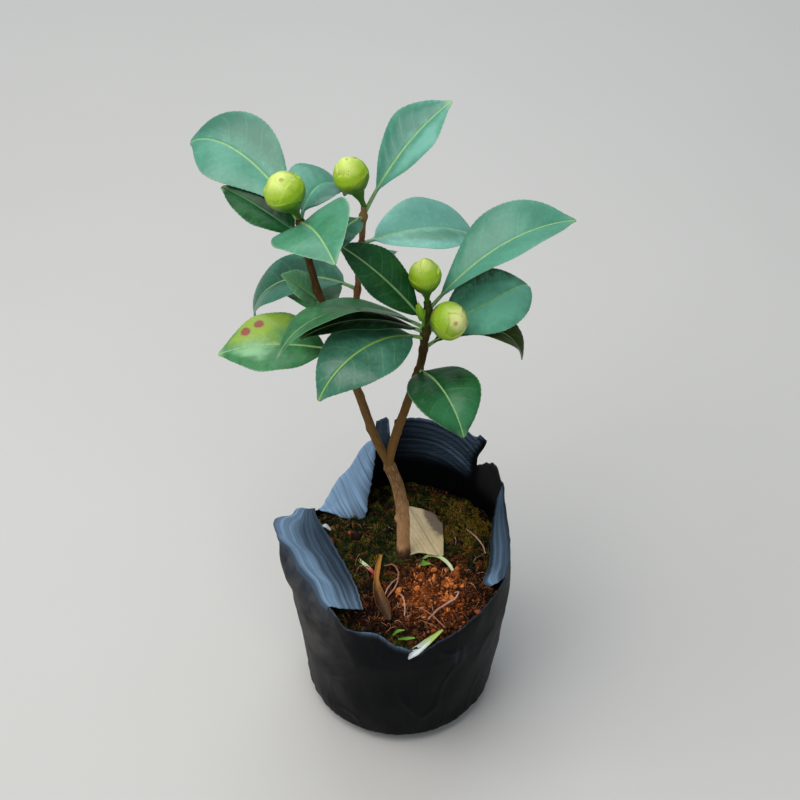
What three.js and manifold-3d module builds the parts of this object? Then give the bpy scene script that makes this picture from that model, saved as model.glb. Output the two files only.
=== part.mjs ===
// Young camellia shrub in a black film nursery bag.
// Millimetres, +Z up, origin at the centre of the bag's flat underside.
// Bearings are degrees about +Z: 0 is +X (right), 90 is +Y (back), 270 is the front.
import * as THREE from 'three';
import { mergeVertices } from 'three/addons/utils/BufferGeometryUtils.js';
import Module from 'manifold-3d';

const wasm = await Module();
wasm.setup();

// Driving dimensions
const GAP = 0.3; // seat gap between neighbouring pieces
const SOIL_LEVEL = 105; // top of the soil where the trunk stands
const FILM = 1.2; // wall of the bag, film with its folds
const BAG_FLOOR = 1.5;
const BAG_SIDES = 40; // corners of each ring of the bag and the soil
const LEAN_POWER = 3; // over 1 the wall leans to its rim only near the top
const LIMB_SIDES = 10;
const RINGS_PER_POINT = 2; // rings of a limb for each point of its path
const BUD_SIDES = 12;
const SPINE_STEPS = 12; // stations along a leaf
const DROOP_POWER = 1.5; // a leaf bends more towards its tip
const HOOK_POWER = 5; // the curled tip bends only at the very end
const TIP_HALF_WIDTH = 0.4;
const PETIOLE_RADIUS = 1.0;
const BLADE_HALF_THICKNESS = 0.6;
const EDGE_THINNING = 0.7; // share of that thickness lost at the blade's edge
const THINNING_POWER = 1.5;
const BLADE_SKEW = 0.97; // under 1 the widest place lies nearer the stalk
const BLADE_FULLNESS = 0.85; // under 1 the blade fills out sooner
const TIP_PINCH = 0.38; // narrowing that draws the tip to a point
const PINCH_POWER = 6;
const STALK_RADIUS = 1.2; // of a bud
const STALK_LEAST = 0.5; // stalk left between a stem and the bud on it
const WELD = 1e-4; // points nearer than this are one

// Outer wall of the bag below its rim: height above the ground and radius
const BAG_PROFILE = [
  [0, 46],
  [3, 50.5],
  [9, 55],
  [40, 58],
  [80, 61],
  [105, 61.5],
  [200, 61.5],
];
const FOOT_HEIGHTS = [0, 3];
const SIDE_HEIGHTS = [9, 40, 80];
const RIM_STATIONS = [0.4, 0.7, 1]; // rings between the sides and the rim, as shares of the way up

// Torn, folded rim: bearing, height above the ground and radius
const RIM = [
  [0, 113, 61],
  [16, 130, 61],
  [30, 150, 62],
  [42, 160, 63],
  [58, 156, 63],
  [72, 151, 62],
  [98, 152, 62],
  [106, 136, 62],
  [122, 116, 61],
  [140, 101, 60],
  [158, 113, 65],
  [176, 127, 69],
  [184, 128, 67],
  [194, 125, 59],
  [211, 118, 54],
  [226, 113, 57],
  [243, 108, 61],
  [257, 113, 62],
  [270, 102, 61],
  [281, 96, 61],
  [292, 102, 61],
  [312, 110, 61],
  [340, 111, 61],
];

// Soil: fall from the trunk to the wall, and a hollow at the back left
const SOIL_FALL = 6.2;
const HOLLOW_DEPTH = 2;
const HOLLOW_BEARING = 125;
const SOIL_RINGS = [0.8, 0.5, 0.2];
const SEAT_RADIUS = 6; // level spot under the trunk
const SOIL_BEVEL = 1; // slope where the soil meets the wall

// Limbs: points along the centre line, the diameter at each end, and for the trunk that of its
// flared foot and the height of the flare. on: the limbs that it grows from or past.
const FORK = [-6.6, 0, 183];
const LIMBS = {
  trunk: {
    colour: 0x8a6a45,
    foot: 8.6,
    from: 7.0,
    to: 6.0,
    flare: 14,
    on: [],
    path: [[2, 0, SOIL_LEVEL + GAP], [1.8, 0, 120], [1.6, 0, 140], [-1.3, 0, 163], FORK],
  },
  left_stem: {
    colour: 0x5b3a2c,
    from: 5.0,
    to: 3.6,
    on: ['trunk'],
    path: [
      FORK,
      [-12.4, -1, 200],
      [-20.7, 0, 232],
      [-29, 1, 264],
      [-37.3, 2, 292],
      [-43, 2, 321],
      [-45.8, 2, 343],
    ],
  },
  right_stem: {
    colour: 0x6b4a33,
    from: 4.8,
    to: 3.6,
    on: ['trunk', 'left_stem'],
    path: [
      FORK,
      [-2.3, -1, 203],
      [4, -2, 229],
      [10.3, -3, 257],
      [12.4, -3, 279],
      [13.6, -2, 287],
      [13, -1, 295],
    ],
  },
  middle_stem: {
    colour: 0x8a5a3a,
    from: 3.4,
    to: 2.7,
    on: ['left_stem'],
    path: [[-27.2, 1, 257], [-23.6, 7, 270], [-20.2, 11, 295], [-17.8, 13, 324], [-16.7, 14, 341]],
  },
};

// Leaves. stem and at: the limb and how far along it the stalk leaves. heading: bearing at the stem,
// sweep: turn of the heading by the tip. rise: slope at the stem, droop and hook: fall by the tip.
// roll: turn about the midrib, twist: more of it by the tip. fold: rise of each half above the midrib.
// belly: over 1 the widest place lies nearer the tip. Degrees and millimetres.
const LEAF_DEFAULTS = { sweep: 0, droop: 30, hook: 0, roll: 0, twist: 0, fold: 12, belly: 1, petiole: 6 };
const LEAVES = [
  { name: 'leaf_left_upper', stem: 'left_stem', at: 0.965, heading: 118, sweep: 38, rise: 24,
    droop: 20, hook: 48, roll: 22, fold: 7, belly: 1.6, petiole: 9, length: 72, width: 40 },
  { name: 'leaf_left_back', stem: 'left_stem', at: 0.985, heading: 82, sweep: -50, rise: 29,
    droop: 108, fold: 14, length: 40, width: 31 },
  { name: 'leaf_left_front', stem: 'left_stem', at: 0.985, heading: 290, rise: 34, droop: 42,
    roll: -20, fold: 14, belly: 0.8, petiole: 4, length: 51, width: 40 },
  { name: 'leaf_left_under', stem: 'left_stem', at: 0.93, heading: 150, rise: 24, droop: 20, roll: 12,
    fold: 14, petiole: 5, length: 42, width: 23 },
  { name: 'leaf_left_small', stem: 'left_stem', at: 0.69, heading: 195, rise: 54, droop: 8, roll: 25,
    fold: 14, petiole: 4, length: 26, width: 17 },
  { name: 'leaf_left_spotted', stem: 'left_stem', at: 0.51, heading: 181, rise: 16, droop: 42,
    roll: 5, fold: 8, petiole: 8, length: 55, width: 40 },
  { name: 'leaf_left_rear', stem: 'left_stem', at: 0.63, heading: 108, rise: -8, droop: 40,
    length: 54, width: 30 },
  { name: 'leaf_middle_top', stem: 'middle_stem', at: 0.94, heading: 44, sweep: -22, rise: 52,
    droop: 22, belly: 1.4, petiole: 13, length: 54, width: 33 },
  { name: 'leaf_middle_front', stem: 'middle_stem', at: 0.93, heading: 238, rise: 22, droop: 62,
    petiole: 4, length: 30, width: 18 },
  { name: 'leaf_middle_right', stem: 'middle_stem', at: 0.76, heading: 26, rise: 0, droop: 50,
    roll: -14, fold: 14, length: 62, width: 34 },
  { name: 'leaf_middle_arched', stem: 'middle_stem', at: 0.46, heading: 136, sweep: 44, rise: -8,
    droop: 58, hook: 40, roll: 10, fold: 8, petiole: 9, length: 76, width: 32 },
  { name: 'leaf_middle_rear', stem: 'middle_stem', at: 0.55, heading: 80, rise: -15, droop: 35,
    length: 52, width: 27 },
  { name: 'leaf_right_long', stem: 'right_stem', at: 0.87, heading: 186, sweep: 34, rise: 40,
    droop: 75, hook: 30, roll: -25, fold: 8, petiole: 9, length: 79, width: 30 },
  { name: 'leaf_right_steep', stem: 'right_stem', at: 0.89, heading: 188, rise: 60, droop: 18,
    roll: 42, belly: 1.15, petiole: 8, length: 61, width: 24 },
  { name: 'leaf_right_shaded', stem: 'right_stem', at: 0.85, heading: 198, sweep: 8, rise: 39,
    droop: 58, roll: -13, fold: 2, petiole: 7, length: 62, width: 22 },
  { name: 'leaf_right_front', stem: 'right_stem', at: 0.82, heading: 220, rise: 40, droop: 104,
    roll: 10, fold: -5, petiole: 10, length: 66, width: 36 },
  { name: 'leaf_right_broad', stem: 'right_stem', at: 0.96, heading: 22, sweep: -4, rise: 48,
    droop: 58, fold: 22, belly: 1.4, petiole: 9, length: 77, width: 40 },
  { name: 'leaf_right_curled', stem: 'right_stem', at: 0.85, heading: 12, sweep: 44, rise: 18,
    droop: 30, hook: 38, roll: -20, fold: 3, petiole: 8, length: 59, width: 35 },
  { name: 'leaf_right_low', stem: 'right_stem', at: 0.64, heading: 296, rise: 32, droop: 90, fold: 8,
    petiole: 5, length: 49, width: 36 },
  { name: 'leaf_right_rear', stem: 'right_stem', at: 0.76, heading: 23, sweep: -35, rise: 31,
    droop: 116, fold: 20, belly: 1.3, length: 57, width: 24 },
];

// Buds: the place on a limb, the bud's centre, its width and its height
const BUDS = [
  { name: 'bud_left', stem: 'left_stem', at: 1, centre: [-51.7, 2, 358], width: 18.2, height: 18.6 },
  { name: 'bud_middle', stem: 'middle_stem', at: 1, centre: [-22.3, 15, 357.5], width: 15.6, height: 18.5 },
  { name: 'bud_right', stem: 'right_stem', at: 1, centre: [11.7, 0, 310.5], width: 14.6, height: 18.5 },
  { name: 'bud_right_front', stem: 'right_stem', at: 0.9, centre: [23, -10, 291], width: 17.6, height: 18.6 },
  { name: 'leaf_bud', stem: 'right_stem', at: 0.93, centre: [10.5, -6.5, 296], width: 3.2, height: 11 },
];

// Outline of a bud from its base to near its tip: share of its width and of its height
const BUD_PROFILE = [
  [0.62, 0.1],
  [0.9, 0.28],
  [1, 0.46],
  [0.93, 0.64],
  [0.68, 0.82],
  [0.3, 0.95],
];
const BUD_WIDEST = 0.46; // share of its height at which a bud is widest, where its centre is taken

const COLOURS = { grow_bag: 0x17171a, soil: 0x3a2a1e, leaf: 0x2f6b4a, bud: 0xa9c83f };
const ROUGHNESS = { grow_bag: 0.5, soil: 0.95, limb: 0.8, leaf: 0.35, bud: 0.4 };

const rad = THREE.MathUtils.degToRad;
const UPWARDS = new THREE.Vector3(0, 0, 1);

function geometryFrom(vertices, triangles) {
  const geometry = new THREE.BufferGeometry();
  geometry.setAttribute('position', new THREE.Float32BufferAttribute(vertices, 3));
  geometry.setIndex(triangles);
  return geometry;
}

// Skin over rings of equal point counts, closed by a fan at each end
function skin(rings) {
  const count = rings[0].length;
  const vertices = [];
  const triangles = [];
  for (const ring of rings) {
    for (const point of ring) {
      vertices.push(point.x, point.y, point.z);
    }
  }
  for (let row = 0; row + 1 < rings.length; row++) {
    for (let i = 0; i < count; i++) {
      const a = row * count + i;
      const b = row * count + ((i + 1) % count);
      triangles.push(a, b, a + count, b, b + count, a + count);
    }
  }
  const closeEnd = (ring, offset, flip) => {
    const middle = ring.reduce((sum, point) => sum.add(point), new THREE.Vector3()).divideScalar(count);
    const hub = vertices.length / 3;
    vertices.push(middle.x, middle.y, middle.z);
    for (let i = 0; i < count; i++) {
      const a = offset + i;
      const b = offset + ((i + 1) % count);
      triangles.push(...(flip ? [hub, b, a] : [hub, a, b]));
    }
  };
  closeEnd(rings[0], 0, true);
  closeEnd(rings[rings.length - 1], (rings.length - 1) * count, false);
  return geometryFrom(vertices, triangles);
}

function toSolid(geometry) {
  const bare = geometry.clone();
  bare.deleteAttribute('normal');
  bare.deleteAttribute('uv');
  const merged = mergeVertices(bare, WELD);
  const mesh = new wasm.Mesh({
    numProp: 3,
    vertProperties: new Float32Array(merged.attributes.position.array),
    triVerts: new Uint32Array(merged.index.array),
  });
  return new wasm.Manifold(mesh);
}

// The piece less the room that its neighbours need, so that it seats on them with the gap
function cutClear(geometry, neighbours) {
  let solid = toSolid(geometry);
  for (const neighbour of neighbours) {
    solid = solid.subtract(toSolid(neighbour));
  }
  const largest = solid.decompose().sort((a, b) => b.volume() - a.volume())[0];
  const mesh = largest.getMesh();
  return geometryFrom(Array.from(mesh.vertProperties), Array.from(mesh.triVerts));
}

function interpolate(table, x, column) {
  for (let i = 1; i < table.length; i++) {
    const [x0] = table[i - 1];
    const [x1] = table[i];
    if (x <= x1) {
      const t = (x - x0) / (x1 - x0);
      return table[i - 1][column] * (1 - t) + table[i][column] * t;
    }
  }
  return table[table.length - 1][column];
}

// Height or radius of the rim at a bearing, eased from one rim point to the next
function rimAt(bearing, column) {
  const last = RIM[RIM.length - 1];
  const first = RIM[0];
  const ringed = [[last[0] - 360, last[1], last[2]], ...RIM, [first[0] + 360, first[1], first[2]]];
  const i = ringed.findIndex((entry) => bearing < entry[0]);
  const t = (bearing - ringed[i - 1][0]) / (ringed[i][0] - ringed[i - 1][0]);
  const eased = t * t * (3 - 2 * t);
  return ringed[i - 1][column] * (1 - eased) + ringed[i][column] * eased;
}

function bagRadius(height) {
  return interpolate(BAG_PROFILE, height, 1);
}

function circle(radiusAt, heightAt) {
  return Array.from({ length: BAG_SIDES }, (_, i) => {
    const bearing = (i * 360) / BAG_SIDES;
    const radius = radiusAt(bearing);
    const point = new THREE.Vector3(radius, 0, heightAt(bearing));
    return point.applyAxisAngle(UPWARDS, rad(bearing));
  });
}

function makeBag() {
  const top = SIDE_HEIGHTS[SIDE_HEIGHTS.length - 1];
  const wallRing = (inset, station) => {
    const heightAt = (bearing) => top + (rimAt(bearing, 1) - top) * station;
    const radiusAt = (bearing) => {
      const plain = bagRadius(heightAt(bearing));
      const flare = rimAt(bearing, 2) - bagRadius(rimAt(bearing, 1));
      return plain + flare * station ** LEAN_POWER - inset;
    };
    return circle(radiusAt, heightAt);
  };
  const outer = [...FOOT_HEIGHTS, ...SIDE_HEIGHTS];
  const rings = outer.map((height) => circle(() => bagRadius(height), () => height));
  RIM_STATIONS.forEach((station) => rings.push(wallRing(0, station)));
  [...RIM_STATIONS].reverse().forEach((station) => rings.push(wallRing(FILM, station)));
  const inner = [...SIDE_HEIGHTS].reverse();
  inner.forEach((height) => rings.push(circle(() => bagRadius(height) - FILM, () => height)));
  rings.push(circle(() => bagRadius(0) - FILM, () => BAG_FLOOR));
  return skin(rings);
}

function soilHeight(fraction, bearing) {
  const towards = Math.max(0, Math.cos(rad(bearing - HOLLOW_BEARING)));
  return SOIL_LEVEL - (SOIL_FALL + HOLLOW_DEPTH * towards) * fraction * fraction;
}

function makeSoil() {
  const inset = FILM + GAP;
  const rings = [
    circle(() => bagRadius(0) - inset, () => BAG_FLOOR + GAP),
    ...SIDE_HEIGHTS.map((height) => circle(() => bagRadius(height) - inset, () => height)),
  ];
  const edge = bagRadius(SOIL_LEVEL) - inset - SOIL_BEVEL;
  for (const fraction of [1, ...SOIL_RINGS]) {
    rings.push(circle(() => edge * fraction, (bearing) => soilHeight(fraction, bearing)));
  }
  rings.push(circle(() => SEAT_RADIUS, () => SOIL_LEVEL));
  return skin(rings);
}

function limbCurve(limb) {
  const points = limb.path.map((point) => new THREE.Vector3(...point));
  return new THREE.CatmullRomCurve3(points, false, 'centripetal');
}

function limbRadius(limb, t, length) {
  const plain = (limb.from + (limb.to - limb.from) * t) / 2;
  const above = t * length;
  if (!limb.flare || above > limb.flare) {
    return plain;
  }
  const share = 1 - above / limb.flare;
  return plain + ((limb.foot - limb.from) / 2) * share * share;
}

// Tapering limb; extra fattens it by that much all round
function makeLimb(limb, extra = 0) {
  const curve = limbCurve(limb);
  const length = curve.getLength();
  const steps = limb.path.length * RINGS_PER_POINT;
  const frames = curve.computeFrenetFrames(steps, false);
  const rings = [];
  for (let step = 0; step <= steps; step++) {
    const t = step / steps;
    const centre = curve.getPointAt(t);
    if (step === 0 || step === steps) {
      centre.addScaledVector(frames.tangents[step], step === 0 ? -extra : extra);
    }
    const radius = limbRadius(limb, t, length) + extra;
    const level = limb.flare && step === 0;
    const across = level ? new THREE.Vector3(1, 0, 0) : frames.normals[step];
    const along = level ? new THREE.Vector3(0, 1, 0) : frames.binormals[step];
    const ring = [];
    for (let i = 0; i < LIMB_SIDES; i++) {
      const angle = (i * 2 * Math.PI) / LIMB_SIDES;
      const point = centre.clone();
      point.addScaledVector(across, radius * Math.cos(angle));
      point.addScaledVector(along, radius * Math.sin(angle));
      ring.push(point);
    }
    rings.push(ring);
  }
  return skin(rings);
}

// Half width of a blade as a share of its widest, s being 0 at its base and 1 at its tip
function bladeShare(s, belly) {
  const swell = Math.sin(Math.PI * s ** (BLADE_SKEW * belly)) ** BLADE_FULLNESS;
  return swell * (1 - TIP_PINCH * s ** PINCH_POWER);
}

// Point, side and up directions at each station of a leaf's midrib
function leafSpine(leaf, start) {
  const total = leaf.petiole + leaf.length;
  const directionAt = (s) => {
    const slope = rad(leaf.rise - leaf.droop * s ** DROOP_POWER - leaf.hook * s ** HOOK_POWER);
    const heading = rad(leaf.heading + leaf.sweep * s);
    return { slope, heading };
  };
  const spine = [];
  const point = start.clone();
  for (let step = 0; step <= SPINE_STEPS; step++) {
    const s = step / SPINE_STEPS;
    const { slope, heading } = directionAt(s);
    const side = new THREE.Vector3(Math.sin(heading), -Math.cos(heading), 0);
    const up = new THREE.Vector3(
      -Math.sin(slope) * Math.cos(heading),
      -Math.sin(slope) * Math.sin(heading),
      Math.cos(slope),
    );
    const roll = rad(leaf.roll + leaf.twist * s);
    const rolledSide = side.clone().multiplyScalar(Math.cos(roll)).addScaledVector(up, Math.sin(roll));
    const rolledUp = up.clone().multiplyScalar(Math.cos(roll)).addScaledVector(side, -Math.sin(roll));
    spine.push({ s, point: point.clone(), side: rolledSide, up: rolledUp });
    const middle = directionAt((step + 0.5) / SPINE_STEPS);
    const flat = Math.cos(middle.slope);
    point.x += (total / SPINE_STEPS) * flat * Math.cos(middle.heading);
    point.y += (total / SPINE_STEPS) * flat * Math.sin(middle.heading);
    point.z += (total / SPINE_STEPS) * Math.sin(middle.slope);
  }
  return spine;
}

// One leaf: a round stalk that opens into a thin folded blade, lens-shaped across
function makeLeaf(leaf, start) {
  const total = leaf.petiole + leaf.length;
  const rings = leafSpine(leaf, start).map(({ s, point, side, up }) => {
    const along = (s * total - leaf.petiole) / leaf.length;
    const share = along > 0 && along < 1 ? bladeShare(along, leaf.belly) : 0;
    const stalk = along < 1 ? PETIOLE_RADIUS : TIP_HALF_WIDTH;
    const halfWidth = stalk + (leaf.width / 2 - stalk) * share;
    const fold = along > 0 ? rad(leaf.fold) : 0;
    const thick = along > 0 ? BLADE_HALF_THICKNESS : PETIOLE_RADIUS;
    // v runs from -1 at one edge to 1 at the other; face is 1 on top, -1 below and 0 on the edge
    const place = (v, face) => {
      const out = Math.abs(v);
      const spread = v * halfWidth * Math.cos(fold);
      const lift = out * halfWidth * Math.sin(fold);
      const skinOff = face * thick * (1 - EDGE_THINNING * out ** THINNING_POWER);
      return point.clone().addScaledVector(side, spread).addScaledVector(up, lift + skinOff);
    };
    const top = [-0.5, 0, 0.5].map((v) => place(v, 1));
    const bottom = [0.5, 0, -0.5].map((v) => place(v, -1));
    return [place(-1, 0), ...top, place(1, 0), ...bottom];
  });
  return skin(rings);
}

// A bud on its short stalk: an egg turned about its own axis, pointed at the tip
function makeBud(bud, start) {
  const centre = new THREE.Vector3(...bud.centre);
  const axis = centre.clone().sub(start);
  const base = axis.length() - bud.height * BUD_WIDEST;
  const stalk = Math.min(STALK_RADIUS, bud.width / 3);
  const profile = [
    new THREE.Vector2(0, 0),
    new THREE.Vector2(STALK_RADIUS, 0),
    new THREE.Vector2(stalk, Math.max(base, STALK_LEAST)),
  ];
  for (const [widthShare, heightShare] of BUD_PROFILE) {
    profile.push(new THREE.Vector2((widthShare * bud.width) / 2, base + heightShare * bud.height));
  }
  profile.push(new THREE.Vector2(0, base + bud.height));
  const geometry = new THREE.LatheGeometry(profile, BUD_SIDES);
  const turn = new THREE.Quaternion().setFromUnitVectors(new THREE.Vector3(0, 1, 0), axis.clone().normalize());
  geometry.applyQuaternion(turn);
  geometry.translate(start.x, start.y, start.z);
  return geometry;
}

const group = new THREE.Group();

function addPiece(name, geometry, colour, roughness) {
  geometry.computeVertexNormals();
  const material = new THREE.MeshStandardMaterial({ color: colour, roughness, metalness: 0 });
  const mesh = new THREE.Mesh(geometry, material);
  mesh.name = name;
  group.add(mesh);
}

addPiece('grow_bag', makeBag(), COLOURS.grow_bag, ROUGHNESS.grow_bag);
addPiece('soil', makeSoil(), COLOURS.soil, ROUGHNESS.soil);

const roomFor = {};
for (const [name, limb] of Object.entries(LIMBS)) {
  roomFor[name] = makeLimb(limb, GAP);
  const neighbours = limb.on.map((other) => roomFor[other]);
  const geometry = neighbours.length ? cutClear(makeLimb(limb), neighbours) : makeLimb(limb);
  addPiece(name, geometry, limb.colour, ROUGHNESS.limb);
}

for (const entry of LEAVES) {
  const leaf = { ...LEAF_DEFAULTS, ...entry };
  const start = limbCurve(LIMBS[leaf.stem]).getPointAt(leaf.at);
  const geometry = cutClear(makeLeaf(leaf, start), [roomFor[leaf.stem]]);
  addPiece(leaf.name, geometry, COLOURS.leaf, ROUGHNESS.leaf);
}

for (const bud of BUDS) {
  const start = limbCurve(LIMBS[bud.stem]).getPointAt(bud.at);
  const geometry = cutClear(makeBud(bud, start), [roomFor[bud.stem]]);
  addPiece(bud.name, geometry, COLOURS.bud, ROUGHNESS.bud);
}

export default group;
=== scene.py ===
"""Young camellia shrub in a torn black film nursery bag: its looks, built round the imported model.

Sizes are in millimetres and become metres where a mesh is made. +Z is up, the origin is the
centre of the bag's flat underside, +X is right and -Y is the front. Bearings are degrees about
+Z: 0 at the right, 90 at the back, 270 at the front.
"""

import logging
import math
from dataclasses import dataclass
from enum import Enum
from typing import Any, Sequence

import bmesh
import bpy
import numpy as np
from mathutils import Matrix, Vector, noise

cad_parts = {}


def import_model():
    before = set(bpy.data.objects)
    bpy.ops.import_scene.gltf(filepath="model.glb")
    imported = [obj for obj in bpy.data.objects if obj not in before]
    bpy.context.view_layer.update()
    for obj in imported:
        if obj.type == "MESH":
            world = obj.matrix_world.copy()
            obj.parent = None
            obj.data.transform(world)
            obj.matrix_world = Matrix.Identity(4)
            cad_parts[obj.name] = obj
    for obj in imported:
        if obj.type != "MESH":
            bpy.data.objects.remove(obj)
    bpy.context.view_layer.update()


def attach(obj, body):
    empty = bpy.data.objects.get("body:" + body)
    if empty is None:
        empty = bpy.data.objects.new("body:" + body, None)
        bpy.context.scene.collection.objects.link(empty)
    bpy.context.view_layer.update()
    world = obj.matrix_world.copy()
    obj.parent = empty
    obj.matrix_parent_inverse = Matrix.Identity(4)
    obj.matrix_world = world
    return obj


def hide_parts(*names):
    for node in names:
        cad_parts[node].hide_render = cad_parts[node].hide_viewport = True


MM = 0.001
SPAN_POINTS = 60
VEIN_PAIRS = 8.0
VEIN_SLANT = 0.17
VEIN_CURVE = 1.3
Colour = tuple[float, float, float]
Point = tuple[float, float, float]

log = logging.getLogger("camellia")


# Shaders


class Wire:
    """One output of a shader node. Sums on it add Math nodes."""

    def __init__(self, shader: "Shader", socket: bpy.types.NodeSocket) -> None:
        """Keeps the socket and the shader that it belongs to."""
        self.shader = shader
        self.socket = socket

    def _math(self, operation: str, *values: "Wire | float") -> "Wire":
        """A Math node of that operation on the values."""
        sockets = dict(enumerate(values))
        return self.shader.node("ShaderNodeMath", {"operation": operation}, sockets)

    def __add__(self, other: "Wire | float") -> "Wire":
        """Sum."""
        return self._math("ADD", self, other)

    __radd__ = __add__

    def __sub__(self, other: "Wire | float") -> "Wire":
        """Difference."""
        return self._math("SUBTRACT", self, other)

    def __rsub__(self, other: "Wire | float") -> "Wire":
        """Difference from a number."""
        return self._math("SUBTRACT", other, self)

    def __mul__(self, other: "Wire | float") -> "Wire":
        """Product."""
        return self._math("MULTIPLY", self, other)

    __rmul__ = __mul__

    def __truediv__(self, other: "Wire | float") -> "Wire":
        """Quotient."""
        return self._math("DIVIDE", self, other)

    def __pow__(self, other: float) -> "Wire":
        """Power."""
        return self._math("POWER", self, other)

    def __abs__(self) -> "Wire":
        """Size without its sign."""
        return self._math("ABSOLUTE", self)

    def fraction(self) -> "Wire":
        """Part after the point."""
        return self._math("FRACT", self)

    def above(self, level: float) -> "Wire":
        """1 where it is over the level, else 0."""
        return self._math("GREATER_THAN", self, level)

    def larger(self, other: "Wire | float") -> "Wire":
        """The larger of the two."""
        return self._math("MAXIMUM", self, other)


class Shader:
    """A material under construction: its Principled shader and one method for every other node."""

    def __init__(self, name: str, **plain: Any) -> None:
        """Starts the material.

        Args:
            name: the material's name.
            plain: sockets of the Principled shader that are the same all over, by name with
                underscores for spaces.
        """
        self.material = bpy.data.materials.new(name)
        self.material.use_nodes = True
        self.tree = self.material.node_tree
        self.principled = self.tree.nodes["Principled BSDF"]
        for key, value in plain.items():
            self.principled.inputs[key.replace("_", " ")].default_value = value

    def node(
        self,
        kind: str,
        settings: dict[str, Any] | None = None,
        sockets: dict[Any, Any] | None = None,
        output: int | str = 0,
    ) -> Wire:
        """Adds a node.

        Args:
            kind: the node's type.
            settings: its own settings, set first.
            sockets: values or wires of its inputs, by name or number.
            output: the output that is returned.

        Returns:
            That output.
        """
        made = self.tree.nodes.new(kind)
        for name, value in (settings or {}).items():
            setattr(made, name, value)
        for key, value in (sockets or {}).items():
            if isinstance(value, Wire):
                self.tree.links.new(value.socket, made.inputs[key])
            else:
                made.inputs[key].default_value = value
        return Wire(self, made.outputs[output])

    def drive(self, socket: str, wire: Wire) -> None:
        """Links a wire to a socket of the Principled shader."""
        self.tree.links.new(wire.socket, self.principled.inputs[socket])

    def mark(self, name: str) -> Wire:
        """The vector that the mesh holds under that name."""
        return self.node("ShaderNodeAttribute", {"attribute_name": name}, output="Vector")

    def place(self) -> Wire:
        """The point on the piece, in metres."""
        return self.node("ShaderNodeTexCoord", output="Object")

    def parts(self, vector: Wire) -> tuple[Wire, Wire, Wire]:
        """The three parts of a vector, one wire each."""
        split = self.node("ShaderNodeSeparateXYZ", sockets={0: vector})
        return tuple(Wire(self, output) for output in split.socket.node.outputs)

    def stretch(self, vector: Wire, by: Point) -> Wire:
        """The vector multiplied part by part."""
        return self.node("ShaderNodeVectorMath", {"operation": "MULTIPLY"}, {0: vector, 1: by})

    def shift(self, vector: Wire, by: Point) -> Wire:
        """The vector moved."""
        return self.node("ShaderNodeVectorMath", {"operation": "ADD"}, {0: vector, 1: by})

    def distance(self, vector: Wire, point: Point) -> Wire:
        """How far the vector is from a point."""
        settings = {"operation": "DISTANCE"}
        return self.node("ShaderNodeVectorMath", settings, {0: vector, 1: point}, "Value")

    def noise(self, vector: Wire, scale: float, detail: float = 3.0, twist: float = 0.0) -> Wire:
        """Cloudy pattern from 0 to 1, about 0.5 in the middle."""
        sockets = {"Vector": vector, "Scale": scale, "Detail": detail, "Distortion": twist}
        return self.node("ShaderNodeTexNoise", sockets=sockets)

    def cells(self, vector: Wire, scale: float, feature: str = "F1", output: str = "Distance") -> Wire:
        """Cell pattern: the distance to the nearest point or to the cell's edge."""
        sockets = {"Vector": vector, "Scale": scale}
        return self.node("ShaderNodeTexVoronoi", {"feature": feature}, sockets, output)

    def smooth(self, value: Wire, low: float, high: float) -> Wire:
        """0 under low, 1 over high and a soft step between. With low over high it falls.

        Args:
            value: the wire.
            low: where it starts.
            high: where it ends.

        Returns:
            The step, from 0 to 1.
        """
        start, end = (0.0, 1.0) if low < high else (1.0, 0.0)
        sockets = {0: value, 1: min(low, high), 2: max(low, high), 3: start, 4: end}
        return self.node("ShaderNodeMapRange", {"interpolation_type": "SMOOTHSTEP"}, sockets)

    def mix(self, share: Wire | float, first: Any, second: Any) -> Wire:
        """Colour between two colours, each a wire or three numbers."""
        sockets = {0: share, 6: self._colour(first), 7: self._colour(second)}
        return self.node("ShaderNodeMix", {"data_type": "RGBA"}, sockets, 2)

    def scale_colour(self, colour: Wire, by: Wire | float) -> Wire:
        """Colour made lighter or darker."""
        settings = {"operation": "SCALE"}
        return self.node("ShaderNodeVectorMath", settings, {0: colour, "Scale": by})

    def relief(self, height: Wire, depth: float, strength: float = 1.0) -> None:
        """Feeds a bump of that depth in millimetres to the Normal."""
        sockets = {"Strength": strength, "Distance": depth * MM, "Height": height}
        self.drive("Normal", self.node("ShaderNodeBump", sockets=sockets))

    @staticmethod
    def _colour(value: Any) -> Any:
        """Three numbers as the four that a colour socket takes."""
        return value if isinstance(value, Wire) else (*value, 1.0)


# Meshes


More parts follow.
